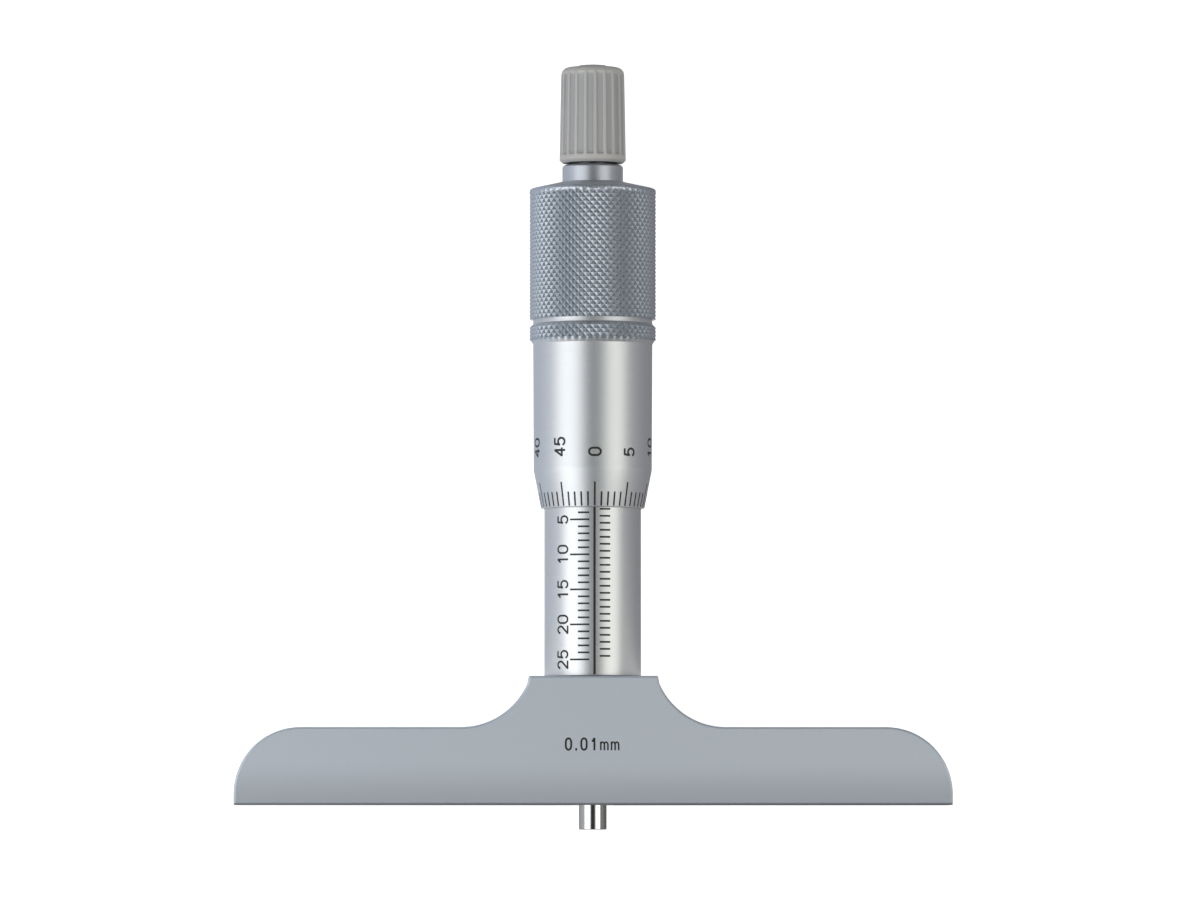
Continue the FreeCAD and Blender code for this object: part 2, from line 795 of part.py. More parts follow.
def check_features():
    """Stop where a feature failed, or where a cut took nothing off its piece."""
    for item in doc.Objects:
        if "Invalid" in item.State or "Error" in item.State:
            raise RuntimeError(f"{item.Label} failed: {item.getStatusString()}")
        before = getattr(item, "BaseFeature", None)
        cuts = ("Pocket", "Groove", "SubtractiveLoft")
        if before and item.TypeId.split("::")[-1] in cuts:
            if item.Shape.Volume >= before.Shape.Volume:
                raise RuntimeError(f"{item.Label} cuts nothing")


def write_steps(bodies):
    os.makedirs("parts", exist_ok=True)
    for body in bodies:
        if body.Shape.isNull() or not body.Shape.isValid() or len(body.Shape.Solids) != 1:
            raise RuntimeError(f"{body.Label} is not one valid solid")
    for body in bodies:
        body.Shape.exportStep(f"parts/{body.Label}.step")


pieces = [
    make_base(),
    make_inner_sleeve(),
    make_adjusting_nut(),
    make_outer_sleeve(),
    make_spindle(),
    make_thimble(),
    make_ratchet_body(),
    make_clutch_ring(),
    make_ratchet_spring(),
    make_spring_washer(),
    make_ratchet_knob(),
    make_ratchet_screw(),
    make_knob_plug(),
]
doc.recompute()
check_features()
write_steps(pieces)
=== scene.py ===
"""A 0-25 mm depth micrometer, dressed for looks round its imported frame.

The instrument lies on its back: the spindle's axis is Y, the ratchet end is +Y, X runs along
the base and the graduated front looks up, to +Z. Metres throughout.
"""

import math

import bmesh
import bpy
import numpy as np
from mathutils import Matrix, Vector


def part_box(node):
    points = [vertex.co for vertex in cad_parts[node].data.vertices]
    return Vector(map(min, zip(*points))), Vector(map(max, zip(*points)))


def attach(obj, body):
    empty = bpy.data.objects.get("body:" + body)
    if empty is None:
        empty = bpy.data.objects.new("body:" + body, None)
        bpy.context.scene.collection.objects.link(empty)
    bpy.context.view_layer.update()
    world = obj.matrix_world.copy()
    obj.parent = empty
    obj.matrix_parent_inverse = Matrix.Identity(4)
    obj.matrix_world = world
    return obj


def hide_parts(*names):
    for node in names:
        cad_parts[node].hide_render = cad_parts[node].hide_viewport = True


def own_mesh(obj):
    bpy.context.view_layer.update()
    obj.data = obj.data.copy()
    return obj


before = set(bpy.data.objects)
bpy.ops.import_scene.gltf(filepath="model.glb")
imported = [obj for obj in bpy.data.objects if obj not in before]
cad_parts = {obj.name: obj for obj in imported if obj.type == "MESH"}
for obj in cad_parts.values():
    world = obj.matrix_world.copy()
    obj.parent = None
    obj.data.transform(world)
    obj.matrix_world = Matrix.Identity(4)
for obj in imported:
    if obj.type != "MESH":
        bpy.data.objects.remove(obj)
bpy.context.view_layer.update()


# Base
# One bar of hardened steel with a raised neck, ground flat below and plated satin grey.
# It is milled to its outline, bevelled all round and bored through for sleeve and rod.
MM = 0.001
SEAM = 2e-7
base_low, base_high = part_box("base")
BASE_END = base_high.x
BASE_FACE = base_high.z
NECK_TOP = base_high.y
ARM_TOP = 11.1 * MM
END_FLAT = 1.6 * MM
NECK_SIDE = 9.2 * MM
NECK_LEAN = 0.26 * MM
NECK_FLANK = 1.2 * MM
SHOULDER = 10.35 * MM
BASE_BEVEL = 0.3 * MM
ROD_HOLE = 2.15 * MM
STEM_HOLE = 6.01 * MM
STEM_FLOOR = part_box("inner_sleeve")[0].y
HOLE_SIDES = 24
END_STEPS = 24
SHOULDER_STEPS = 28
BEVEL_ROWS = 4
BEVEL_STRAIGHT = 0.7
BEVEL_CURVED = 0.3


def surface(name, patches, body, materials, crease=30, kinds=None, slants=None):
    """A closed piece made of grids of points (rows, columns, xyz), welded along their edges.

    kinds gives the material of each grid. slants may give, for a grid's number, which way each
    of its squares is cut in two: True from its first corner, False across it.
    """
    points, faces, marks, first = [], [], [], 0
    for number, patch in enumerate(patches):
        rows, columns = patch.shape[:2]
        index = first + np.arange(rows * columns).reshape(rows, columns)
        a, b, c, d = index[:-1, :-1], index[1:, :-1], index[1:, 1:], index[:-1, 1:]
        if slants and number in slants:
            slant = slants[number]
            lower = np.where(slant[..., None], np.stack([a, b, c], -1), np.stack([a, b, d], -1))
            upper = np.where(slant[..., None], np.stack([a, c, d], -1), np.stack([b, c, d], -1))
            made = [*lower.reshape(-1, 3).tolist(), *upper.reshape(-1, 3).tolist()]
        else:
            made = np.stack([a, b, c, d], axis=-1).reshape(-1, 4).tolist()
        faces += made
        marks += [kinds[number] if kinds else 0] * len(made)
        points.append(patch.reshape(-1, 3))
        first += rows * columns
    mesh = bpy.data.meshes.new(name)
    mesh.from_pydata(np.concatenate(points), [], faces)
    for material in materials:
        mesh.materials.append(material)
    mesh.polygons.foreach_set("material_index", marks)
    shell = bmesh.new()
    shell.from_mesh(mesh)
    bmesh.ops.remove_doubles(shell, verts=shell.verts, dist=SEAM)
    bmesh.ops.recalc_face_normals(shell, faces=shell.faces)
    shell.to_mesh(mesh)
    shell.free()
    mesh.shade_smooth()
    mesh.set_sharp_from_angle(angle=math.radians(crease))
    piece = bpy.data.objects.new(name, mesh)
    bpy.context.scene.collection.objects.link(piece)
    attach(piece, body)
    return piece


def metal(name, color, roughness, grain=(900, 900, 900), bump=0.0, shade=0.06, fade=None):
    """Bare or plated metal. A stretched noise varies its shade, its gloss and its relief.

    fade, where given, is a height and a share: painted shade darkens the colour by that share
    at the measuring face, and fades out up to that height.
    """
    material = bpy.data.materials.new(name)
    material.use_nodes = True
    nodes, links = material.node_tree.nodes, material.node_tree.links
    shader = nodes["Principled BSDF"]
    shader.inputs["Metallic"].default_value = 1.0
    place = nodes.new("ShaderNodeTexCoord")
    stretch = nodes.new("ShaderNodeMapping")
    stretch.inputs["Scale"].default_value = grain
    links.new(place.outputs["Object"], stretch.inputs["Vector"])
    noise = nodes.new("ShaderNodeTexNoise")
    noise.inputs["Scale"].default_value = 1.0
    noise.inputs["Detail"].default_value = 4.0
    links.new(stretch.outputs["Vector"], noise.inputs["Vector"])
    tone = nodes.new("ShaderNodeValToRGB")
    dark, light = tone.color_ramp.elements
    dark.position, light.position = 0.3, 0.7
    dark.color = (*[c * (1 - shade) for c in color], 1)
    light.color = (*[min(c * (1 + shade), 1) for c in color], 1)
    links.new(noise.outputs["Fac"], tone.inputs["Fac"])
    if fade:
        # Painted shade: the colour is mixed towards black near the measuring face.
        apart = nodes.new("ShaderNodeSeparateXYZ")
        links.new(place.outputs["Object"], apart.inputs["Vector"])
        painted_shade_ramp = nodes.new("ShaderNodeMapRange")
        painted_shade_ramp.interpolation_type = "SMOOTHSTEP"
        painted_shade_ramp.inputs["From Max"].default_value = fade[0]
        painted_shade_ramp.inputs["To Min"].default_value = fade[1]
        painted_shade_ramp.inputs["To Max"].default_value = 0
        links.new(apart.outputs["Y"], painted_shade_ramp.inputs["Value"])
        painted_shade_mix = nodes.new("ShaderNodeMix")
        painted_shade_mix.data_type = "RGBA"
        painted_shade_mix.inputs["B"].default_value = (0, 0, 0, 1)
        links.new(painted_shade_ramp.outputs["Result"], painted_shade_mix.inputs["Factor"])
        links.new(tone.outputs["Color"], painted_shade_mix.inputs["A"])
        links.new(painted_shade_mix.outputs["Result"], shader.inputs["Base Color"])
    else:
        links.new(tone.outputs["Color"], shader.inputs["Base Color"])
    gloss = nodes.new("ShaderNodeMapRange")
    gloss.inputs["To Min"].default_value = roughness * 0.85
    gloss.inputs["To Max"].default_value = roughness * 1.15
    links.new(noise.outputs["Fac"], gloss.inputs["Value"])
    links.new(gloss.outputs["Result"], shader.inputs["Roughness"])
    if bump:
        relief = nodes.new("ShaderNodeBump")
        relief.inputs["Distance"].default_value = bump
        links.new(noise.outputs["Fac"], relief.inputs["Height"])
        links.new(relief.outputs["Normal"], shader.inputs["Normal"])
    return material


def base_edge():
    """Upper edge of the base: end flat, round, arm, hollow shoulder, leaning side and neck."""
    corner = ARM_TOP - END_FLAT
    turn = np.linspace(0, math.pi / 2, END_STEPS + 1)
    out = BASE_END - corner + corner * np.cos(turn)
    end = np.stack([out, END_FLAT + corner * np.sin(turn)], -1)
    rise = NECK_TOP - NECK_FLANK - ARM_TOP
    foot = NECK_SIDE + NECK_LEAN + math.sqrt(SHOULDER**2 - (SHOULDER - rise) ** 2)
    turn = np.linspace(0, math.acos(1 - rise / SHOULDER), SHOULDER_STEPS + 1)
    hollow = np.stack([foot - SHOULDER * np.sin(turn), ARM_TOP + SHOULDER * (1 - np.cos(turn))], -1)
    across = np.linspace(BASE_FACE - BASE_BEVEL, 0, HOLE_SIDES // 2 + 1)
    neck = np.stack([across, np.full(len(across), NECK_TOP)], -1)
    half = np.concatenate([end, hollow, [(NECK_SIDE, NECK_TOP)], neck])
    return np.concatenate([half, half[-2::-1] * [-1, 1]])


def moved_in(edge, amount):
    """The edge moved inwards by an amount, square to its lines, with its corners kept sharp."""
    runs = np.diff(edge, axis=0)
    runs = np.concatenate([[[0, 1]], runs / np.linalg.norm(runs, axis=1, keepdims=True), [[0, -1]]])
    outward = np.stack([runs[:, 1], -runs[:, 0]], -1)
    first, second = outward[:-1], outward[1:]
    return edge - amount * (first + second) / (1 + (first * second).sum(axis=1, keepdims=True))


def ring_of(radius, height, turns):
    """One circle about the spindle's axis: x = r sin a, z = r cos a."""
    return np.stack([radius * np.sin(turns), 0 * turns + height, radius * np.cos(turns)], -1)


def square_turns():
    """Angles of points spread evenly round a square, so that a circle can meet it in a flat."""
    run = np.arctan(np.linspace(-1, 1, HOLE_SIDES + 1))
    return np.concatenate([run[:-1] + k * math.pi / 2 for k in range(4)] + [[run[0] + 2 * math.pi]])


def square_ring(side, turns):
    """Points at those angles on a square of half-width side, as distances x and z."""
    reach = side / np.maximum(np.abs(np.sin(turns)), np.abs(np.cos(turns)))
    return reach * np.sin(turns), reach * np.cos(turns)


def base_patches():
    """Front, back, bevels, walls and stepped bore of the base, as grids."""
    edge = base_edge()
    flat = BASE_FACE - BASE_BEVEL
    swing = np.linspace(0, math.pi / 2, BEVEL_ROWS)
    straight = BEVEL_STRAIGHT * swing / swing[-1]
    lifts = BASE_BEVEL * (straight + BEVEL_CURVED * (1 - np.cos(swing)))
    sinks = BASE_BEVEL * (straight[::-1] + BEVEL_CURVED * (1 - np.sin(swing)))
    tops, feet = [], []
    for lift, sink in zip(lifts, sinks):
        top = moved_in(edge, lift)
        level = np.full(len(top), BASE_FACE - sink)
        tops.append(np.column_stack([top, level]))
        feet.append(np.column_stack([top[:, 0], np.full(len(top), lift), level]))
    tops, feet = np.stack(tops), np.stack(feet)
    ends = [np.stack([tops[:, k], feet[:, k]], axis=1) for k in (0, -1)]
    front = [tops, feet, *ends, np.stack([tops[-1], feet[-1]])]
    patches = front + [patch * [1, 1, -1] for patch in front]
    inner = np.flatnonzero((np.abs(edge[:, 0]) < flat + SEAM) & (edge[:, 1] > NECK_TOP - SEAM))
    low, high = inner[0], inner[-1]
    for face in (tops[0], feet[0]):
        wall = np.stack([face, face * [1, 1, -1]])
        patches += [wall[:, : low + 1], wall[:, high:]]
    for k in (0, -1):
        side = np.stack([tops[0, k], feet[0, k]])
        patches.append(np.stack([side, side * [1, 1, -1]]))
    turns = square_turns()
    across, deep = square_ring(flat, turns)
    bore = [
        (ROD_HOLE + BASE_BEVEL, 0),
        (ROD_HOLE, BASE_BEVEL),
        (ROD_HOLE, STEM_FLOOR),
        (STEM_HOLE, STEM_FLOOR),
        (STEM_HOLE, NECK_TOP),
    ]
    rows = [ring_of(radius, height, turns) for radius, height in bore]
    foot = np.stack([across, 0 * turns, deep], -1)
    top = np.stack([across, 0 * turns + NECK_TOP, deep], -1)
    patches.append(np.stack([foot, *rows, top]))
    return patches


# The plating's colour darkens towards the measuring face: painted shade, set by fade.
satin_plating = metal(
    "satin_plating",
    (0.64, 0.677, 0.725),
    0.6,
    grain=(6000,) * 3,
    bump=3e-6,
    shade=0.05,
    fade=(6.5 * MM, 0.21),
)
base = surface("base_body", base_patches(), "base", [satin_plating], crease=35)
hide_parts("base")


# Inner sleeve and adjusting nut
# The fixed nut body inside the graduated sleeve, split and tapered at its end, with the ring
# nut that closes it on the thread. Both are turned from bare steel and hidden in use.
bare_steel = metal("bare_steel", (0.5, 0.5, 0.5), 0.35, grain=(400, 9000, 400), bump=2e-6)


def dress(names, material):
    """Gives the solids of these names one material."""
    for name in names:
        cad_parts[name].data.materials.clear()
        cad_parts[name].data.materials.append(material)


dress(("inner_sleeve", "adjusting_nut"), bare_steel)


# Graduated sleeve
# A thin tube in satin chrome, slid over the inner sleeve. A small hole at its back takes the
# hook spanner that turns it to set zero.
sleeve_low, sleeve_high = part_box("outer_sleeve")
SLEEVE_RIM = sleeve_high.x
SLEEVE_BORE = SLEEVE_RIM - 0.92 * MM
SPANNER_HOLE = 0.8 * MM
SPANNER_HOLE_RISE = 5.0 * MM
PATCH_SIDE = 1.6 * MM
SLEEVE_ROUND = 0.08 * MM
SLEEVE_STEPS = 216
TURNED_GRAIN = (700, 7000, 700)
TURNED_RELIEF = 1e-6


def sleeve_patches():
    """The tube, with a square round the spanner hole at the back drawn in to the hole's rim.

    On the square, arc length round the tube and height take the place of x and y.
    """
    middle = NECK_TOP + SPANNER_HOLE_RISE
    half_turn = PATCH_SIDE / SLEEVE_RIM
    turns = square_turns()
    across, along = square_ring(PATCH_SIDE, turns)
    run = np.sort(np.unique(np.round(across[np.abs(along - PATCH_SIDE) < SEAM], 9)))
    back = math.pi + run / SLEEVE_RIM
    rest = np.linspace(math.pi + half_turn, 3 * math.pi - half_turn, SLEEVE_STEPS + 1)
    whole = np.concatenate([back, rest[1:]])
    ends = [
        (SLEEVE_BORE, sleeve_low.y),
        (SLEEVE_RIM - SLEEVE_ROUND, sleeve_low.y),
        (SLEEVE_RIM, sleeve_low.y + SLEEVE_ROUND),
        (SLEEVE_RIM, middle - PATCH_SIDE),
    ]
    upper = [
        (SLEEVE_RIM, middle + PATCH_SIDE),
        (SLEEVE_RIM, sleeve_high.y - SLEEVE_ROUND),
        (SLEEVE_RIM - SLEEVE_ROUND, sleeve_high.y),
        (SLEEVE_BORE, sleeve_high.y),
        (SLEEVE_BORE, middle + PATCH_SIDE),
    ]
    under = [(SLEEVE_BORE, middle - PATCH_SIDE), (SLEEVE_BORE, sleeve_low.y)]
    patches = [
        np.stack([ring_of(radius, height, whole) for radius, height in corners])
        for corners in (ends, upper, under)
    ]
    heights = np.sort(np.unique(np.round(along[np.abs(across - PATCH_SIDE) < SEAM], 9))) + middle
    for radius in (SLEEVE_RIM, SLEEVE_BORE):
        patches.append(np.stack([ring_of(radius, height, rest) for height in heights]))
    rows = []
    for radius, square in ((SLEEVE_RIM, 1), (SLEEVE_RIM, 0), (SLEEVE_BORE, 0), (SLEEVE_BORE, 1)):
        side = across if square else SPANNER_HOLE * np.sin(turns)
        rise = along if square else SPANNER_HOLE * np.cos(turns)
        rows.append(ring_of(radius, middle + rise, math.pi + side / SLEEVE_RIM))
    patches.append(np.stack(rows))
    return patches


satin_chrome = metal(
    "satin_chrome", (0.62, 0.625, 0.63), 0.42, grain=TURNED_GRAIN, bump=TURNED_RELIEF, shade=0.03
)
sleeve = surface("sleeve_tube", sleeve_patches(), "sleeve", [satin_chrome])
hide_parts("outer_sleeve")


# Scale of the sleeve
# The index line, 1 mm lines to its left and half-millimetre lines to its right, engraved and
# filled with black paint. The numbers read up the sleeve, every 5 mm from 0 to 25.
INDEX_TURN = math.radians(1.4)
TRAVEL = 25
LAST_LINE_RISE = 2.35
SCALE_ZERO = NECK_TOP + (TRAVEL + LAST_LINE_RISE) * MM
INDEX_WIDTH = 0.34 * MM
LINE_WIDTH = 0.27 * MM
WHOLE_LINE = (-6.7, -19.3)
LONG_LINE = (-6.7, -29.4)
HALF_LINE = (6.7, 18.4)
FIGURE_FOOT = -33.2
FIGURE_HEIGHT = 1.75 * MM
FIGURE_WIDTH = 1.05 * MM
FIGURE_STEP = 1.5 * MM
FIGURE_LINE = 0.29 * MM
PAINT_PROUD = 0.006 * MM
PAINT_SUNK = 0.03 * MM
INLAY_STEP = 0.12 * MM
INLAY_FLAT = 0.96
CAP_ROWS = 4
HAIR = 1e-9

paint = bpy.data.materials.new("engraving_paint")
paint.use_nodes = True
paint_shader = paint.node_tree.nodes["Principled BSDF"]
paint_shader.inputs["Base Color"].default_value = (0.014, 0.012, 0.011, 1)
paint_shader.inputs["Roughness"].default_value = 0.55


def arc(middle, reach, start, stop, count=14):
    """Points of an ellipse from one angle to another, in degrees counter-clockwise from right."""
    turn = np.radians(np.linspace(start, stop, count))
    return np.stack([middle[0] + reach[0] * np.cos(turn), middle[1] + reach[1] * np.sin(turn)], -1)


def line(*points):
    return np.array(points, float)


# Figures as an engraver cuts them, each in a box one wide and one high
FIGURES = {
    "0": [
        np.concatenate(
            [
                line((1.0, 0.5)),
                arc((0.5, 0.66), (0.5, 0.34), 0, 180),
                arc((0.5, 0.34), (0.5, 0.34), 180, 360),
                line((1.0, 0.5)),
            ]
        )
    ],
    "1": [line((0.18, 0.74), (0.56, 1.0)), line((0.56, 1.0), (0.56, 0.0))],
    "2": [
        arc((0.5, 0.7), (0.46, 0.3), 165, -35, 16),
        line((0.877, 0.528), (0.02, 0.0)),
        line((0.02, 0.0), (1.0, 0.0)),
    ],
    "3": [
        arc((0.46, 0.75), (0.42, 0.25), 150, -90, 16),
        arc((0.46, 0.27), (0.5, 0.27), 90, -150, 18),
    ],
    "4": [
        line((0.74, 0.0), (0.74, 1.0)),
        line((0.74, 1.0), (0.0, 0.28)),
        line((0.0, 0.28), (1.0, 0.28)),
    ],
    "5": [
        line((0.9, 1.0), (0.16, 1.0)),
        line((0.16, 1.0), (0.06, 0.5)),
        arc((0.48, 0.33), (0.5, 0.33), 148, -150, 20),
    ],
}


def written(text, width, step, height):
    """Strokes of a text, in metres: reading direction first, then height over its foot."""
    strokes = []
    for place, sign in enumerate(text):
        for stroke in FIGURES.get(sign, []):
            strokes.append(stroke * [width, height] + [place * step, 0])
    return strokes


def inlay(stroke, width, spot):
    """One engraved stroke filled with paint: a low bar along the stroke with round ends.

    Its section is a flat dome, sunk into the metal. The ends draw in as a half circle does.
    spot turns (first, second, lift) of a point into its place.
    """
    steps = np.linalg.norm(np.diff(stroke, axis=0), axis=1)
    run = np.concatenate([[0], np.cumsum(steps)])
    half = width / 2
    cap = half * (1 - np.cos(np.linspace(0, math.pi / 2, CAP_ROWS)))
    inside = np.linspace(0, run[-1], max(CAP_ROWS, int(run[-1] / INLAY_STEP)))
    at = np.concatenate([cap - half, inside, run[-1] + half - cap[::-1]])
    reach = np.clip(at, 0, run[-1])
    over = at - reach

    def spot_at(distance):
        return np.stack([np.interp(distance, run, stroke[:, k]) for k in (0, 1)], -1)

    path = spot_at(reach)
    way = spot_at(reach + HAIR) - spot_at(reach - HAIR)
    way /= np.linalg.norm(way, axis=1, keepdims=True)
    path += way * over[:, None]
    thick = np.sqrt(np.clip(1 - (over / half) ** 2, 0, 1))
    square = np.stack([-way[:, 1], way[:, 0]], -1)
    section = [
        (-1, -PAINT_SUNK),
        (-INLAY_FLAT, PAINT_PROUD),
        (0, 1.3 * PAINT_PROUD),
        (INLAY_FLAT, PAINT_PROUD),
        (1, -PAINT_SUNK),
        (-1, -PAINT_SUNK),
    ]
    rows = []
    for share, lift in section:
        spread = path + square * (share * half * thick)[:, None]
        height = (lift + PAINT_SUNK) * thick - PAINT_SUNK
        rows.append(spot(spread[:, 0], spread[:, 1], height))
    return np.stack(rows)


def on_sleeve(across, along, lift):
    """Arc length from the index line, and height, wrapped on the sleeve."""
    radius = SLEEVE_RIM + lift
    turn = INDEX_TURN + across / SLEEVE_RIM
    return np.stack([radius * np.sin(turn), along, radius * np.cos(turn)], -1)


def sleeve_arc(degrees):
    return SLEEVE_RIM * math.radians(degrees)


def turned_up(stroke):
    """A stroke turned by a quarter, so that it reads up the instrument."""
    return np.stack([-stroke[:, 1], stroke[:, 0]], -1)


index_foot = sleeve_low.y + SLEEVE_ROUND + INDEX_WIDTH / 2
index_line = line((0, index_foot), (0, sleeve_high.y - INDEX_WIDTH))
sleeve_marks = [inlay(index_line, INDEX_WIDTH, on_sleeve)]
for half_mm in range(2 * TRAVEL + 1):
    height = SCALE_ZERO - half_mm / 2 * MM
    if half_mm % 2:
        ends = HALF_LINE
    else:
        ends = LONG_LINE if half_mm % 10 == 0 else WHOLE_LINE
    stroke = line(*[(sleeve_arc(end), height) for end in ends])
    sleeve_marks.append(inlay(stroke, LINE_WIDTH, on_sleeve))
for number in range(0, TRAVEL + 5, 5):
    text = str(number)
    length = FIGURE_WIDTH + FIGURE_STEP * (len(text) - 1)
    foot = np.array([sleeve_arc(FIGURE_FOOT), SCALE_ZERO - number * MM - length / 2])
    for stroke in written(text, FIGURE_WIDTH, FIGURE_STEP, FIGURE_HEIGHT):
        sleeve_marks.append(inlay(turned_up(stroke) + foot, FIGURE_LINE, on_sleeve))
surface("sleeve_scale", sleeve_marks, "sleeve", [paint], crease=60)


# Marks of the base
# A plain note of what one division reads, engraved on the middle of the front.
NOTE_HEIGHT = 1.64 * MM
NOTE_WIDTH = 0.77 * MM
NOTE_FOOT = 7.84 * MM
NOTE_DOT = 0.44 * MM
NOTE_SIGNS = [("0", -3.94), (".", -2.46), ("0", -1.73), ("1", -0.29), ("m", 1.05), ("m", 2.58)]
NOTE_LINES = {"m": 0.24 * MM, ".": NOTE_DOT}
FIGURES["."] = [line((-0.01, 0.04), (0.01, 0.04))]
FIGURES["m"] = [
    line((0.0, 0.0), (0.0, 0.68)),
    np.concatenate([arc((0.33, 0.44), (0.33, 0.24), 180, 0, 10), line((0.66, 0.0))]),
    np.concatenate([arc((0.99, 0.44), (0.33, 0.24), 180, 0, 10), line((1.32, 0.0))]),
]


def on_base(across, along, lift):
    return np.stack([across, along, BASE_FACE + lift], -1)


base_marks = []
for sign, place in NOTE_SIGNS:
    for stroke in written(sign, NOTE_WIDTH, 0, NOTE_HEIGHT):
        width = NOTE_LINES.get(sign, FIGURE_LINE)
        base_marks.append(inlay(stroke + [place * MM, NOTE_FOOT], width, on_base))
surface("base_note", base_marks, "base", [paint], crease=60)


# Thimble
# Turned in one piece and plated in satin chrome: graduated bevel, plain barrel, narrow
# knurled ring, groove and knurled grip with a conical end. Inside it is bored for the sleeve
# and the taper.
thimble_low, thimble_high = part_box("thimble")
GRIP_RISE = 0.9 * MM
THIMBLE_EDGE = thimble_low.y
THIMBLE_TOP = thimble_high.y - GRIP_RISE
GRIP = thimble_high.x
THIMBLE_BORE = SLEEVE_RIM + 0.15 * MM
EDGE_RIM = THIMBLE_BORE + 0.3 * MM
BARREL_LOW = THIMBLE_BORE + 1.385 * MM
BARREL_HIGH = BARREL_LOW + 0.085 * MM
BEVEL_END = THIMBLE_EDGE + 5.5 * MM
BARREL_END = BEVEL_END + 18.1 * MM
RING_START = BARREL_END + 0.73 * MM
RING_END = RING_START + 1.66 * MM
GROOVE_FLOOR = GRIP - 0.54 * MM
GROOVE_START = RING_END + 0.54 * MM
GROOVE_END = GROOVE_START + 0.67 * MM
WEB_FLOOR = THIMBLE_TOP - 7.7 * MM
SHANK_SEAT = THIMBLE_TOP - 1.8 * MM
SHANK_BORE = 4.37 * MM
SHANK_STEP = 0.16 * MM
TAPER = [(2.63, 0.0), (2.63, -0.3), (3.28, -4.8)]
CROWN_ROUND = 0.5 * MM
KNURL_STARTS = 54
KNURL_CUTS = 8
KNURL_CELL = 1.136 * MM
KNURL_DEPTH = 0.25 * MM
KNURL_FLANK = 0.5
KNURL_END = 0.35 * MM
KNURL_FADE = 0.6 * MM
RING_ROWS = 12

thimble_turns = np.linspace(0, 2 * math.pi, KNURL_STARTS * KNURL_CUTS + 1)


def rounded(corners):
    """A profile through corners (radius, height, round), each eased by a parabola of its size."""
    spots = np.array([corner[:2] for corner in corners], float)
    path = []
    for k, corner in enumerate(corners):
        if corner[2] == 0 or k in (0, len(corners) - 1):
            path.append(spots[k])
            continue
        before, after = spots[k - 1] - spots[k], spots[k + 1] - spots[k]
        start = spots[k] + before / np.linalg.norm(before) * corner[2]
        stop = spots[k] + after / np.linalg.norm(after) * corner[2]
        for share in np.linspace(0, 1, 5):
            left = 1 - share
            path.append(left**2 * start + 2 * share * left * spots[k] + share**2 * stop)
    return np.array(path)


def lathe(profile, turns):
    """A profile of (radius, height) points turned about the spindle's axis."""
    return np.stack([ring_of(radius, height, turns) for radius, height in profile])


def knurled(low, high, cell, rim_of, fade):
    """A knurled band, and which way each of its squares is cut.

    Two families of slanting grooves cross. In cells, a point's distance to the nearer groove,
    up to the flank's width, gives its height over the grooves' floor.
    """
    rows = round((high - low) / cell * KNURL_CUTS)
    along = np.arange(rows + 1)[:, None] / KNURL_CUTS
    across = np.arange(KNURL_STARTS * KNURL_CUTS + 1)[None, :] / KNURL_CUTS

    def groove(place):
        return np.abs(place - np.round(place))

    near = np.minimum(groove(across - along), groove(across + along))
    cut = KNURL_DEPTH * (1 - np.minimum(near / KNURL_FLANK, 1))
    height = np.linspace(low, high, rows + 1)[:, None]
    radius = rim_of(height) - cut * fade(height)
    turn = thimble_turns[None, :]
    band = np.stack([radius * np.sin(turn), height + 0 * turn, radius * np.cos(turn)], -1)
    middle_along = along[:-1] + 0.5 / KNURL_CUTS
    middle_across = across[:, :-1] + 0.5 / KNURL_CUTS
    rising = groove(middle_across - middle_along) < groove(middle_across + middle_along)
    return band, rising


def crown_rim(height):
    """The grip's rim, rounded by a quarter circle into the conical end."""
    over = np.clip(height - (THIMBLE_TOP - CROWN_ROUND), 0, CROWN_ROUND)
    return GRIP - CROWN_ROUND + np.sqrt(np.clip(CROWN_ROUND**2 - over**2, 0, None))


def crown_fade(height):
    return np.clip((THIMBLE_TOP - KNURL_END - height) / KNURL_FADE, 0, 1)


grip_band, grip_slants = knurled(GROOVE_END, THIMBLE_TOP, KNURL_CELL, crown_rim, crown_fade)
ring_cell = (RING_END - RING_START) / RING_ROWS * KNURL_CUTS
ring_band, ring_slants = knurled(
    RING_START, RING_END, ring_cell, lambda height: GRIP + 0 * height, lambda height: 1 + 0 * height
)
front = rounded(
    [
        (THIMBLE_BORE, THIMBLE_EDGE, 0),
        (EDGE_RIM, THIMBLE_EDGE, 0.12 * MM),
        (BARREL_LOW, BEVEL_END, 0.25 * MM),
        (BARREL_HIGH, BARREL_END, 0.1 * MM),
        (GRIP - KNURL_DEPTH, RING_START - KNURL_DEPTH, 0),
    ]
)
groove_profile = rounded(
    [
        (GRIP - KNURL_DEPTH, RING_END + KNURL_DEPTH, 0),
        (GROOVE_FLOOR, GROOVE_START, 0.12 * MM),
        (GROOVE_FLOOR, GROOVE_END, 0),
    ]
)
inside = [(SHANK_BORE, THIMBLE_TOP + GRIP_RISE - SHANK_STEP), (SHANK_BORE, SHANK_SEAT)]
inside += [(radius * MM, SHANK_SEAT + drop * MM) for radius, drop in TAPER]
inside += [(TAPER[-1][0] * MM, WEB_FLOOR), (THIMBLE_BORE, WEB_FLOOR), (THIMBLE_BORE, THIMBLE_EDGE)]
collar = [
    (SHANK_BORE + SHANK_STEP, THIMBLE_TOP + GRIP_RISE),
    (SHANK_BORE, THIMBLE_TOP + GRIP_RISE - SHANK_STEP),
]
top_face = np.stack([grip_band[-1], *lathe(collar, thimble_turns)])
lower = lathe(front, thimble_turns)
groove_rows = lathe(groove_profile, thimble_turns)
thimble_patches = [
    lower,
    np.stack([lower[-1], ring_band[0]]),
    ring_band,
    np.stack([ring_band[-1], groove_rows[0]]),
    groove_rows,
    np.stack([groove_rows[-1], grip_band[0]]),
    grip_band,
    top_face,
    lathe(inside, thimble_turns),
]
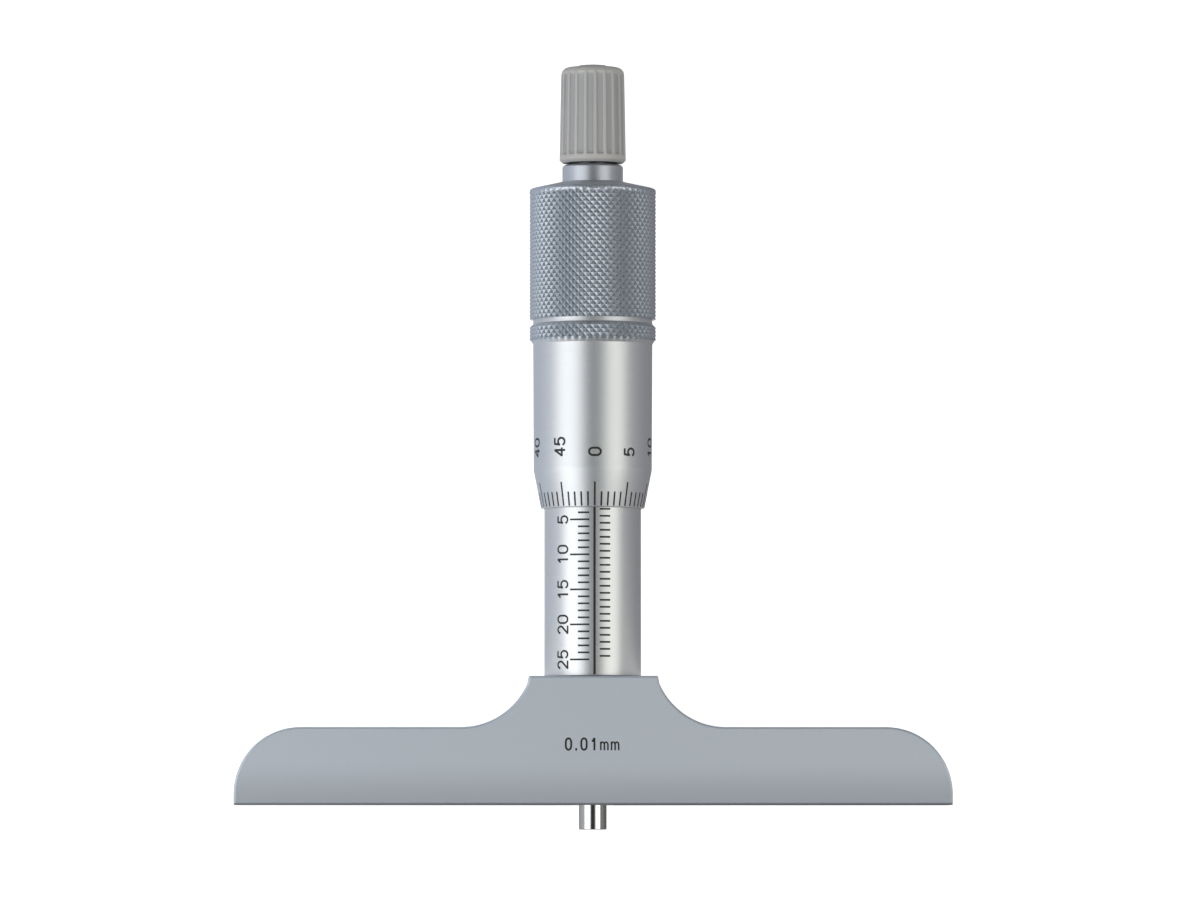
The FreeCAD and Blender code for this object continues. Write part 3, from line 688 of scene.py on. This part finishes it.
thimble_chrome = metal(
    "thimble_chrome", (0.61, 0.62, 0.63), 0.45, grain=TURNED_GRAIN, bump=TURNED_RELIEF, shade=0.03
)
# The knurled bands take a darker copy of the thimble's chrome: painted shade for their dark facets.
shaded_knurl_chrome = metal(
    "shaded_knurl_chrome", (0.465, 0.498, 0.538), 0.42, grain=(2500, 2500, 2500), shade=0.08
)
thimble = surface(
    "thimble_body",
    thimble_patches,
    "thimble",
    [thimble_chrome, shaded_knurl_chrome],
    kinds=[0, 1, 1, 1, 0, 1, 1, 0, 0],
    slants={2: ring_slants, 6: grip_slants},
)
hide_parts("thimble")


# Scale of the thimble
# Fifty lines on the bevel, one to each hundredth of a millimetre, every fifth one longer and
# numbered on the barrel. Engraved and filled like the sleeve's.
THIMBLE_ZERO = math.radians(1.4)
SHORT_MARK = 2.12 * MM
LONG_MARK = 3.52 * MM
NUMBER_FOOT = 7.34 * MM
NUMBER_LINE = 0.32 * MM
NUMBER_HEIGHT = 1.68 * MM
MARK_START = 0.1 * MM
DIVISIONS = 50
DIVISION = 2 * math.pi * BARREL_LOW / DIVISIONS


def thimble_rim(height):
    """The outside of bevel and barrel at a height."""
    heights = [THIMBLE_EDGE, BEVEL_END, BARREL_END]
    return np.interp(height, heights, [EDGE_RIM, BARREL_LOW, BARREL_HIGH])


def on_thimble(across, along, lift):
    """Arc length from the zero line, measured on the barrel, and height, wrapped on the thimble."""
    radius = thimble_rim(along) + lift
    turn = THIMBLE_ZERO + across / BARREL_LOW
    return np.stack([radius * np.sin(turn), along, radius * np.cos(turn)], -1)


def round_cone(across, along, lift):
    """The same, with arc length kept true on the bevel, so that its lines keep one width."""
    whole = np.round(across / DIVISION) * DIVISION
    wide = whole + (across - whole) * BARREL_LOW / thimble_rim(along)
    return on_thimble(wide, along, lift)


thimble_marks = []
for k in range(DIVISIONS):
    reach = SHORT_MARK if k % 5 else LONG_MARK
    across = (k - DIVISIONS if k > DIVISIONS // 2 else k) * DIVISION
    mark_foot = THIMBLE_EDGE + MARK_START + LINE_WIDTH / 2
    mark = line((across, mark_foot), (across, THIMBLE_EDGE + reach))
    thimble_marks.append(inlay(mark, LINE_WIDTH, round_cone))
    if k % 5 == 0:
        foot = np.array([across + NUMBER_HEIGHT / 2, THIMBLE_EDGE + NUMBER_FOOT])
        for stroke in written(str(k), FIGURE_WIDTH, FIGURE_STEP, NUMBER_HEIGHT):
            thimble_marks.append(inlay(turned_up(stroke) + foot, NUMBER_LINE, on_thimble))
surface("thimble_scale", thimble_marks, "thimble", [paint], crease=60)


# Spindle
# Rod, fine thread and taper, turned and ground as one piece. The rod is lapped bright and
# stands out of the measuring face by the depth that the scales show.
spindle_low, spindle_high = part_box("spindle")
ROD = 2.0 * MM
ROD_BEVEL = 0.08 * MM
THREAD = 3.25 * MM
PITCH = 0.5 * MM
THREAD_DEPTH = 0.27 * MM
THREAD_LOW = 42.5 * MM
THREAD_HIGH = 82.01 * MM
STUD_BORE = 1.5 * MM
THREAD_CUTS = 5
CONE_TIP = 2.6 * MM
TAP_DEPTH = 6.5 * MM
DRILL_DEPTH = 6.8 * MM
SPINDLE_STEPS = 60

spindle_turns = np.linspace(0, 2 * math.pi, SPINDLE_STEPS + 1)


def threaded(low, high, radius, depth, turns):
    """A fine thread: the radius falls and rises once for each pitch of height and each turn."""
    rows = round((high - low) / PITCH * THREAD_CUTS)
    height = np.linspace(low, high, rows + 1)[:, None]
    phase = height / PITCH - turns[None, :] / (2 * math.pi)
    cut = depth * 2 * np.abs(phase - np.round(phase))
    ends = np.clip(np.minimum(height - low, high - height) / PITCH, 0, 1)
    rim = radius - cut * ends
    return np.stack([rim * np.sin(turns), height + 0 * turns, rim * np.cos(turns)], -1)


rod_profile = rounded(
    [
        (0, spindle_low.y, 0),
        (ROD - ROD_BEVEL, spindle_low.y, 0.02 * MM),
        (ROD, spindle_low.y + ROD_BEVEL, 0.02 * MM),
        (ROD, THREAD_LOW, 0),
        (THREAD, THREAD_LOW, 0),
    ]
)
spindle_end = [
    (THREAD, THREAD_HIGH),
    (CONE_TIP, spindle_high.y),
    (STUD_BORE, spindle_high.y),
    (STUD_BORE, spindle_high.y - TAP_DEPTH),
    (0, spindle_high.y - DRILL_DEPTH),
]
rod_steel = metal("rod_steel", (0.66, 0.65, 0.64), 0.07, grain=(300, 5000, 300), shade=0.03)
spindle = surface(
    "spindle_rod",
    [
        lathe(rod_profile, spindle_turns),
        threaded(THREAD_LOW, THREAD_HIGH, THREAD, THREAD_DEPTH, spindle_turns),
        lathe(spindle_end, spindle_turns),
    ],
    "spindle",
    [rod_steel],
)
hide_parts("spindle")


# Ratchet shank
# The bright turned shank between thimble and knob. Its stud draws the thimble on to the
# spindle's taper, and the saw teeth of its neck run against the clutch ring in the knob.
shank_low, shank_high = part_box("ratchet_body")
SHANK = shank_high.x
SHANK_TOP = THIMBLE_TOP + 3.33 * MM
SHANK_BEVEL = 0.25 * MM
STUD = 1.47 * MM
NECK = 3.0 * MM
TOOTH_CREST = shank_high.y
TOOTH_HEIGHT = 0.45 * MM
TEETH = 12
SCREW_BORE = 1.0 * MM
SCREW_HOLE_FLOOR = TOOTH_CREST - TOOTH_HEIGHT - 5.0 * MM
SHANK_GRAIN = (500, 12000, 500)

tooth = np.array([0.0, 0.25, 0.5, 0.75, 1.0])
tooth_turns = np.concatenate([(k + tooth) * 2 * math.pi / TEETH for k in range(TEETH)])
tooth_rise = np.tile(tooth, TEETH)


def saw_ring(radius):
    """The toothed end at a radius: each tooth climbs evenly and drops at once."""
    drop = TOOTH_HEIGHT * radius / NECK * (1 - tooth_rise)
    return np.stack(
        [radius * np.sin(tooth_turns), TOOTH_CREST - drop, radius * np.cos(tooth_turns)], -1
    )


shank_profile = rounded(
    [
        (0, shank_low.y, 0),
        (STUD, shank_low.y, 0),
        (STUD, SHANK_SEAT, 0),
        (SHANK, SHANK_SEAT, 0),
        (SHANK, SHANK_TOP - SHANK_BEVEL, 0.08 * MM),
        (SHANK - SHANK_BEVEL, SHANK_TOP, 0.08 * MM),
        (NECK, SHANK_TOP, 0),
    ]
)
shank_steel = metal(
    "shank_steel", (0.54, 0.555, 0.59), 0.42, grain=SHANK_GRAIN, bump=TURNED_RELIEF
)
# The neck, its teeth and the screw hole are near black: painted shade for the dark gap under the
# knob.
gap_shade_steel = metal("gap_shade_steel", (0.09, 0.09, 0.09), 0.4, grain=SHANK_GRAIN)
shank_rows = lathe(shank_profile, tooth_turns)
screw_well = lathe([(SCREW_BORE, SCREW_HOLE_FLOOR), (0, SCREW_HOLE_FLOOR)], tooth_turns)
shank = surface(
    "shank_body",
    [
        shank_rows,
        np.concatenate([shank_rows[-1:], [saw_ring(NECK), saw_ring(SCREW_BORE)], screw_well]),
    ],
    "thimble",
    [shank_steel, gap_shade_steel],
    kinds=[0, 1],
)
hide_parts("ratchet_body")


# Ratchet knob
# Moulded in grey plastic, a little narrower at its head. Twenty flat flutes leave narrow ribs
# between them. It is bored from below for clutch ring and spring, and from above for the screw.
knob_low, knob_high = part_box("ratchet_knob")
KNOB_FOOT = knob_low.y
KNOB_TOP = knob_high.y
KNOB_BORE = 3.55 * MM
KNOB_RIM_LOW = 4.77 * MM
KNOB_RIM_HIGH = 4.53 * MM
KNOB_BEVEL = 0.4 * MM
KNOB_ROUND = 1.1 * MM
KNOB_DOME = 0.1 * MM
FLUTES = 20
FLUTE_TURN = math.radians(12.7)
FLUTE_WIDTH = 1.0 * MM
FLUTE_DEPTH = 0.27 * MM
FLUTE_LOW = KNOB_FOOT + 1.02 * MM
FLUTE_HIGH = KNOB_TOP - 1.1 * MM
FLUTE_WALL = 0.14 * MM
FLUTE_END = 0.2 * MM
KNOB_WEB = (100.27 * MM, 101.27 * MM)
KNOB_CUTS = 18
HEAD_START = 0.35
FLUTE_SHADE_GREY = (0.46, 0.455, 0.457, 1)
RIB_GREY = (0.595, 0.568, 0.54, 1)
HEAD_BORE = 1.6 * MM
SCREW_PASS = 1.05 * MM
PLUG_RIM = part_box("knob_plug")[1].x


def eased(share):
    """Rises from 0 to 1 with level ends."""
    share = np.clip(share, 0, 1)
    return share * share * (3 - 2 * share)


def knob_skin(height, turns):
    """The fluted outside: a cone, less flat-bottomed flutes whose walls and ends are eased."""
    rim = np.interp(height, [KNOB_FOOT, KNOB_TOP], [KNOB_RIM_LOW, KNOB_RIM_HIGH])
    off = turns - FLUTE_TURN
    off = off - np.round(off * FLUTES / (2 * math.pi)) * 2 * math.pi / FLUTES
    side = np.abs(off) * rim
    wall = eased((FLUTE_WIDTH / 2 + FLUTE_WALL / 2 - side) / FLUTE_WALL)
    end = eased((height - FLUTE_LOW) / FLUTE_END) * eased((FLUTE_HIGH - height) / FLUTE_END)
    floor = (rim - FLUTE_DEPTH) / np.cos(off)
    return rim + (floor - rim) * wall * end


def crowned(height):
    """How far the head's round draws the rim in at a height."""
    over = np.clip(height - (KNOB_TOP - KNOB_DOME - KNOB_ROUND), 0, KNOB_ROUND)
    return KNOB_ROUND - np.sqrt(np.clip(KNOB_ROUND**2 - over**2, 0, None))


knob_turns = np.linspace(0, 2 * math.pi, FLUTES * KNOB_CUTS + 1)
knob_heights = np.concatenate(
    [
        np.linspace(KNOB_FOOT + KNOB_BEVEL, FLUTE_LOW, 4)[:-1],
        np.linspace(FLUTE_LOW, FLUTE_LOW + FLUTE_END, 5),
        np.linspace(FLUTE_LOW + FLUTE_END, FLUTE_HIGH - FLUTE_END, 20)[1:],
        KNOB_TOP - KNOB_DOME - KNOB_ROUND * (1 - np.sin(np.linspace(HEAD_START, math.pi / 2, 12))),
    ]
)[:, None]
skin = knob_skin(knob_heights, knob_turns[None, :]) - crowned(knob_heights)
knob_shell = np.stack(
    [
        skin * np.sin(knob_turns),
        knob_heights + 0 * knob_turns,
        skin * np.cos(knob_turns),
    ],
    -1,
)
knob_inside = [
    (PLUG_RIM, KNOB_TOP),
    (HEAD_BORE, KNOB_TOP),
    (HEAD_BORE, KNOB_WEB[1]),
    (SCREW_PASS, KNOB_WEB[1]),
    (SCREW_PASS, KNOB_WEB[0]),
    (KNOB_BORE, KNOB_WEB[0]),
    (KNOB_BORE, KNOB_FOOT),
    (KNOB_RIM_LOW - KNOB_BEVEL, KNOB_FOOT),
]
knob_closed = np.concatenate([knob_shell, lathe(knob_inside, knob_turns), knob_shell[:1]])

# The flutes are painted a darker grey than ribs and head: painted shade in the recesses.
plastic = bpy.data.materials.new("grey_plastic")
plastic.use_nodes = True
plastic_nodes, plastic_links = plastic.node_tree.nodes, plastic.node_tree.links
plastic_shader = plastic_nodes["Principled BSDF"]
plastic_shader.inputs["Roughness"].default_value = 0.42
plastic_place = plastic_nodes.new("ShaderNodeTexCoord")
plastic_grain = plastic_nodes.new("ShaderNodeTexNoise")
plastic_grain.inputs["Scale"].default_value = 3500
plastic_grain.inputs["Detail"].default_value = 3
plastic_links.new(plastic_place.outputs["Object"], plastic_grain.inputs["Vector"])
plastic_tone = plastic_nodes.new("ShaderNodeValToRGB")
plastic_tone.color_ramp.elements[0].color = (0.92, 0.92, 0.92, 1)
plastic_links.new(plastic_grain.outputs["Fac"], plastic_tone.inputs["Fac"])
flat_place = plastic_nodes.new("ShaderNodeMapping")
flat_place.inputs["Scale"].default_value = (1, 0, 1)
plastic_links.new(plastic_place.outputs["Object"], flat_place.inputs["Vector"])
from_axis = plastic_nodes.new("ShaderNodeVectorMath")
from_axis.operation = "LENGTH"
plastic_links.new(flat_place.outputs["Vector"], from_axis.inputs[0])
up_knob = plastic_nodes.new("ShaderNodeSeparateXYZ")
plastic_links.new(plastic_place.outputs["Object"], up_knob.inputs["Vector"])
draft = (KNOB_RIM_LOW - KNOB_RIM_HIGH) / (KNOB_TOP - KNOB_FOOT)
straight = plastic_nodes.new("ShaderNodeMath")
straight.operation = "MULTIPLY_ADD"
straight.inputs[1].default_value = draft
plastic_links.new(up_knob.outputs["Y"], straight.inputs[0])
plastic_links.new(from_axis.outputs["Value"], straight.inputs[2])
rib_rim = KNOB_RIM_LOW + draft * KNOB_FOOT
on_rib = plastic_nodes.new("ShaderNodeMapRange")
on_rib.inputs["From Min"].default_value = rib_rim - 0.8 * FLUTE_DEPTH
on_rib.inputs["From Max"].default_value = rib_rim - 0.2 * FLUTE_DEPTH
plastic_links.new(straight.outputs["Value"], on_rib.inputs["Value"])
on_head = plastic_nodes.new("ShaderNodeMapRange")
on_head.inputs["From Min"].default_value = FLUTE_HIGH - FLUTE_END
on_head.inputs["From Max"].default_value = FLUTE_HIGH
plastic_links.new(up_knob.outputs["Y"], on_head.inputs["Value"])
outside_flute_shade = plastic_nodes.new("ShaderNodeMath")
outside_flute_shade.operation = "MAXIMUM"
plastic_links.new(on_rib.outputs["Result"], outside_flute_shade.inputs[0])
plastic_links.new(on_head.outputs["Result"], outside_flute_shade.inputs[1])
# Painted shade: the darker grey in the flutes, the lighter grey on ribs and head.
painted_flute_shade = plastic_nodes.new("ShaderNodeMix")
painted_flute_shade.data_type = "RGBA"
painted_flute_shade.inputs["A"].default_value = FLUTE_SHADE_GREY
painted_flute_shade.inputs["B"].default_value = RIB_GREY
plastic_links.new(outside_flute_shade.outputs["Value"], painted_flute_shade.inputs["Factor"])
grained = plastic_nodes.new("ShaderNodeMix")
grained.data_type = "RGBA"
grained.blend_type = "MULTIPLY"
grained.inputs["Factor"].default_value = 1
plastic_links.new(painted_flute_shade.outputs["Result"], grained.inputs["A"])
plastic_links.new(plastic_tone.outputs["Color"], grained.inputs["B"])
plastic_links.new(grained.outputs["Result"], plastic_shader.inputs["Base Color"])
plastic_relief = plastic_nodes.new("ShaderNodeBump")
plastic_relief.inputs["Distance"].default_value = 6e-6
plastic_links.new(plastic_grain.outputs["Fac"], plastic_relief.inputs["Height"])
plastic_links.new(plastic_relief.outputs["Normal"], plastic_shader.inputs["Normal"])

knob = surface("knob_body", [knob_closed], "knob", [plastic], crease=40)
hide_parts("ratchet_knob")


# Knob plug
# A small moulded disc, pressed into the knob's head over the screw.
plug_low, plug_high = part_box("knob_plug")
PLUG_GAP = 0.01 * MM
plug_profile = rounded(
    [
        (0, plug_low.y, 0),
        (HEAD_BORE - PLUG_GAP, plug_low.y, 0),
        (HEAD_BORE - PLUG_GAP, KNOB_TOP, 0),
        (PLUG_RIM, KNOB_TOP, 0),
        (PLUG_RIM, plug_high.y, 0.12 * MM),
        (0, plug_high.y, 0),
    ]
)
plug_turns = np.linspace(0, 2 * math.pi, 65)
plug = surface("plug_disc", [lathe(plug_profile, plug_turns)], "knob", [plastic])
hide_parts("knob_plug")


# Clutch ring, washer and screw
# Turned steel pieces inside the knob. The ring's teeth run in the shank's, and the screw
# holds the knob on the shank.
dress(("clutch_ring", "spring_washer", "ratchet_screw"), bare_steel)


# Ratchet spring
# A coil of round wire that presses the clutch ring into the shank's teeth. It stands on the
# washer and is pressed together when the ring lifts.
spring_low, spring_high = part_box("ratchet_spring")
WIRE = 0.2 * MM
COIL_PITCH = 0.7 * MM
COIL_STEPS = 120
WIRE_SIDES = 12


def coiled(low, high, reach, wire):
    """A wire wound evenly about the axis, with its ends closed at their middles.

    Its middle climbs by one pitch each turn, and its round section is square to that path.
    """
    climb = np.linspace(0, high - low - 2 * wire, COIL_STEPS + 1)[:, None]
    turn = climb / COIL_PITCH * 2 * math.pi
    out = np.concatenate([np.sin(turn), 0 * turn, np.cos(turn)], axis=1)
    slope = COIL_PITCH / (2 * math.pi * reach)
    up = np.concatenate([-slope * np.cos(turn), 1 + 0 * turn, slope * np.sin(turn)], axis=1)
    up /= math.hypot(1, slope)
    middle = out * reach + np.concatenate([0 * climb, low + wire + climb, 0 * climb], axis=1)
    round_wire = np.linspace(0, 2 * math.pi, WIRE_SIDES + 1)[None, :, None]
    tube = middle[:, None] + wire * (
        np.cos(round_wire) * out[:, None] + np.sin(round_wire) * up[:, None]
    )
    first, last = (np.broadcast_to(middle[k], tube[0].shape) for k in (0, -1))
    return np.concatenate([[first], tube, [last]])


spring_steel = metal("spring_steel", (0.42, 0.42, 0.43), 0.25, grain=(3000, 3000, 3000))
coil = coiled(spring_low.y, spring_high.y, spring_high.x - WIRE, WIRE)
spring = surface("spring_coil", [coil], "knob", [spring_steel], crease=60)
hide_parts("ratchet_spring")
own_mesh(spring)


# Floor
# A plain white sweep that the instrument lies on: it touches the back of the base and the
# knurled ring, so it leans by about a degree. It rises at its rim as a low wall.
REST_NEAR = (BASE_BEVEL, base_low.z)
REST_FAR = (RING_START, -GRIP)
FLOOR_REACH = 2.6
WALL_ROUND = 0.8
FLOOR_RINGS = (0.0, 0.3, 1.2)
FLOOR_STEPS = 96
FLOOR_SHADE = 0.75
FLOOR_GLOW = 0.78


def grid_mesh(name, grid):
    """An open sheet through a grid of points (rows, columns, xyz)."""
    rows, columns = grid.shape[:2]
    index = np.arange(rows * columns).reshape(rows, columns)
    quads = np.stack([index[:-1, :-1], index[1:, :-1], index[1:, 1:], index[:-1, 1:]], -1)
    mesh = bpy.data.meshes.new(name)
    mesh.from_pydata(grid.reshape(-1, 3), [], quads.reshape(-1, 4).tolist())
    return mesh


lean = math.atan2(REST_FAR[1] - REST_NEAR[1], REST_FAR[0] - REST_NEAR[0])
bend = np.linspace(0, math.pi / 2, 17)
sweep = [(radius, 0.0) for radius in FLOOR_RINGS]
sweep += [(FLOOR_REACH + WALL_ROUND * math.sin(t), WALL_ROUND * (1 - math.cos(t))) for t in bend]
floor_mesh = grid_mesh("floor", lathe(sweep, np.linspace(0, 2 * math.pi, FLOOR_STEPS + 1)))
floor_mesh.transform(Matrix.Rotation(math.pi / 2, 4, "X"))
floor_mesh.transform(Matrix.Rotation(lean, 4, "X"))
floor_mesh.transform(
    Matrix.Translation((0, 0, REST_NEAR[1] - math.tan(lean) * REST_NEAR[0]))
)
floor = bpy.data.objects.new("floor", floor_mesh)
bpy.context.scene.collection.objects.link(floor)

white = bpy.data.materials.new("white_sweep")
white.use_nodes = True
nodes, links = white.node_tree.nodes, white.node_tree.links
nodes.remove(nodes["Principled BSDF"])
matt = nodes.new("ShaderNodeBsdfDiffuse")
matt.inputs["Color"].default_value = (FLOOR_SHADE, FLOOR_SHADE, FLOOR_SHADE, 1)
glow = nodes.new("ShaderNodeEmission")
rays = nodes.new("ShaderNodeLightPath")
seen = nodes.new("ShaderNodeMath")
seen.operation = "ADD"
seen_clear = nodes.new("ShaderNodeMath")
seen_clear.operation = "ADD"
seen_clear.use_clamp = True
links.new(rays.outputs["Is Camera Ray"], seen.inputs[0])
links.new(rays.outputs["Is Glossy Ray"], seen.inputs[1])
links.new(seen.outputs[0], seen_clear.inputs[0])
links.new(rays.outputs["Is Transmission Ray"], seen_clear.inputs[1])
level = nodes.new("ShaderNodeMath")
level.operation = "MULTIPLY"
level.inputs[1].default_value = FLOOR_GLOW
links.new(seen_clear.outputs[0], level.inputs[0])
links.new(level.outputs[0], glow.inputs["Strength"])
both = nodes.new("ShaderNodeAddShader")
links.new(matt.outputs[0], both.inputs[0])
links.new(glow.outputs[0], both.inputs[1])
links.new(both.outputs[0], nodes["Material Output"].inputs["Surface"])
floor_mesh.materials.append(white)


# Light
# Two long soft boxes, one to each side and well above, give the round parts a bright band on
# each side of a darker middle. Grey cards beside sleeve and rod, before the measuring face and
# behind the grip, and a dark strip overhead, are seen in gloss alone.
ROOM_LIGHT = 0.25
BOX_AWAY = 0.6
CARD_REACH = 170 * MM
CARD_RISE = 70 * MM
CARD_LIFT = 0.15 * MM
BESIDE_STEM = (10 * MM, NECK_TOP + 0.5 * MM, 0.3)
BESIDE_ROD = (3 * MM, -0.3, -0.05 * MM)
BEFORE_FACE = (5 * MM, -0.25, 0.25)
BEHIND_GRIP = (THIMBLE_TOP - 5 * MM, -9 * MM, 9 * MM)
HOOD_AWAY = 0.5
HOOD_ANGLE = 12

world = bpy.data.worlds.new("room")
world.use_nodes = True
world.node_tree.nodes["Background"].inputs["Color"].default_value = (0.87, 0.96, 1.05, 1)
world.node_tree.nodes["Background"].inputs["Strength"].default_value = ROOM_LIGHT
bpy.context.scene.world = world


def soft_box(name, angles, ends, glow_level, color):
    """A long lamp at one brightness. It covers a span of angles from straight up, towards +X.

    ends are its two ends along Y.
    """
    lamp = bpy.data.lights.new(name, "AREA")
    lamp.shape = "RECTANGLE"
    half_span = math.radians(angles[1] - angles[0]) / 2
    lamp.size, lamp.size_y = 2 * BOX_AWAY * math.tan(half_span), ends[1] - ends[0]
    lamp.energy = glow_level * math.pi * lamp.size * lamp.size_y
    lamp.color = color
    box = bpy.data.objects.new(name, lamp)
    angle = math.radians(sum(angles) / 2)
    box.location = (BOX_AWAY * math.sin(angle), sum(ends) / 2, BOX_AWAY * math.cos(angle))
    box.rotation_euler = (0, angle, 0)
    bpy.context.scene.collection.objects.link(box)


def hung_card(name, rows, shade):
    """A card through rows of points, seen in gloss alone."""
    mesh = grid_mesh(name, np.stack(rows))
    card = bpy.data.objects.new(name, mesh)
    bpy.context.scene.collection.objects.link(card)
    for ray in ("camera", "diffuse", "transmission", "volume_scatter", "shadow"):
        setattr(card, f"visible_{ray}", False)
    grey = bpy.data.materials.new(name)
    grey.use_nodes = True
    shader = grey.node_tree.nodes["Principled BSDF"]
    shader.inputs["Base Color"].default_value = (0, 0, 0, 1)
    shader.inputs["Emission Color"].default_value = (*shade, 1)
    shader.inputs["Emission Strength"].default_value = 1.0
    mesh.materials.append(grey)


def grey_card(name, way, shade, span):
    """A card that lies on the floor, leads away from the instrument and curves up.

    way is where it leads, in X and Y. span is how far off it starts, and its two ends across.
    """
    inner, *ends = span
    share = np.linspace(0, 1, 17)
    reach = inner + CARD_REACH * share
    rows = []
    for end in ends:
        over = way[0] * reach + abs(way[1]) * end
        along = way[1] * reach + abs(way[0]) * end
        lift = base_low.z + CARD_LIFT + CARD_RISE * share**2 + math.tan(lean) * along
        rows.append(np.stack([over, along, lift], -1))
    hung_card(name, rows, shade)


soft_box("left_box", (-74, -21), (-0.4, 0.2), 2.12, (0.985, 0.995, 1.0))
soft_box("right_box", (23, 64), (-0.26, 0.2), 1.8, (1.0, 0.99, 0.91))
grey_card("left_card", (-1, 0), (0.57, 0.62, 0.7), BESIDE_STEM)
grey_card("right_card", (1, 0), (0.28, 0.28, 0.3), BESIDE_STEM)
grey_card("left_rod_card", (-1, 0), (0.35, 0.36, 0.38), BESIDE_ROD)
grey_card("right_rod_card", (1, 0), (0.1, 0.1, 0.1), BESIDE_ROD)
grey_card("front_card", (0, -1), (0.07, 0.07, 0.07), BEFORE_FACE)
grey_card("back_card", (0, 1), (0.25, 0.26, 0.28), BEHIND_GRIP)
half = HOOD_AWAY * math.tan(math.radians(HOOD_ANGLE))
hood = []
for end in (-HOOD_AWAY, HOOD_AWAY):
    hood.append(np.array([(-half, end, HOOD_AWAY), (half, end, HOOD_AWAY)]))
hung_card("hood", hood, (0.02, 0.02, 0.02))


# Camera
# Above the base's foot and a little to its left, far off with a long lens, and aimed at the
# picture's middle.
CAMERA_AWAY = 1.214
CAMERA_SIDE = -16 * MM
CAMERA_FOOT = -6.41 * MM
PICTURE_SCALE = 6.970 / MM
PICTURE_WIDTH = 1200
PICTURE_HEIGHT = 900
AXIS_COLUMN = 592.7
FOOT_ROW = 850.0
aim_across = (PICTURE_WIDTH / 2 - AXIS_COLUMN) / PICTURE_SCALE
aim_along = (FOOT_ROW - PICTURE_HEIGHT / 2) / PICTURE_SCALE + CAMERA_FOOT
lens = bpy.data.cameras.new("camera")
lens.sensor_width = 36
lens.lens = PICTURE_SCALE * CAMERA_AWAY / PICTURE_WIDTH * lens.sensor_width
lens.clip_start, lens.clip_end = 0.01, 20
camera = bpy.data.objects.new("camera", lens)
camera.location = (CAMERA_SIDE, CAMERA_FOOT, CAMERA_AWAY)
gaze = Vector((aim_across, aim_along, 0)) - camera.location
across = gaze.cross(Vector((0, 1, 0))).normalized()
upright = across.cross(gaze).normalized()
camera.matrix_world = (
    Matrix.Translation(camera.location)
    @ Matrix((across, upright, -gaze.normalized())).transposed().to_4x4()
)
bpy.context.scene.collection.objects.link(camera)
bpy.context.scene.camera = camera
bpy.context.scene.view_settings.view_transform = "Standard"
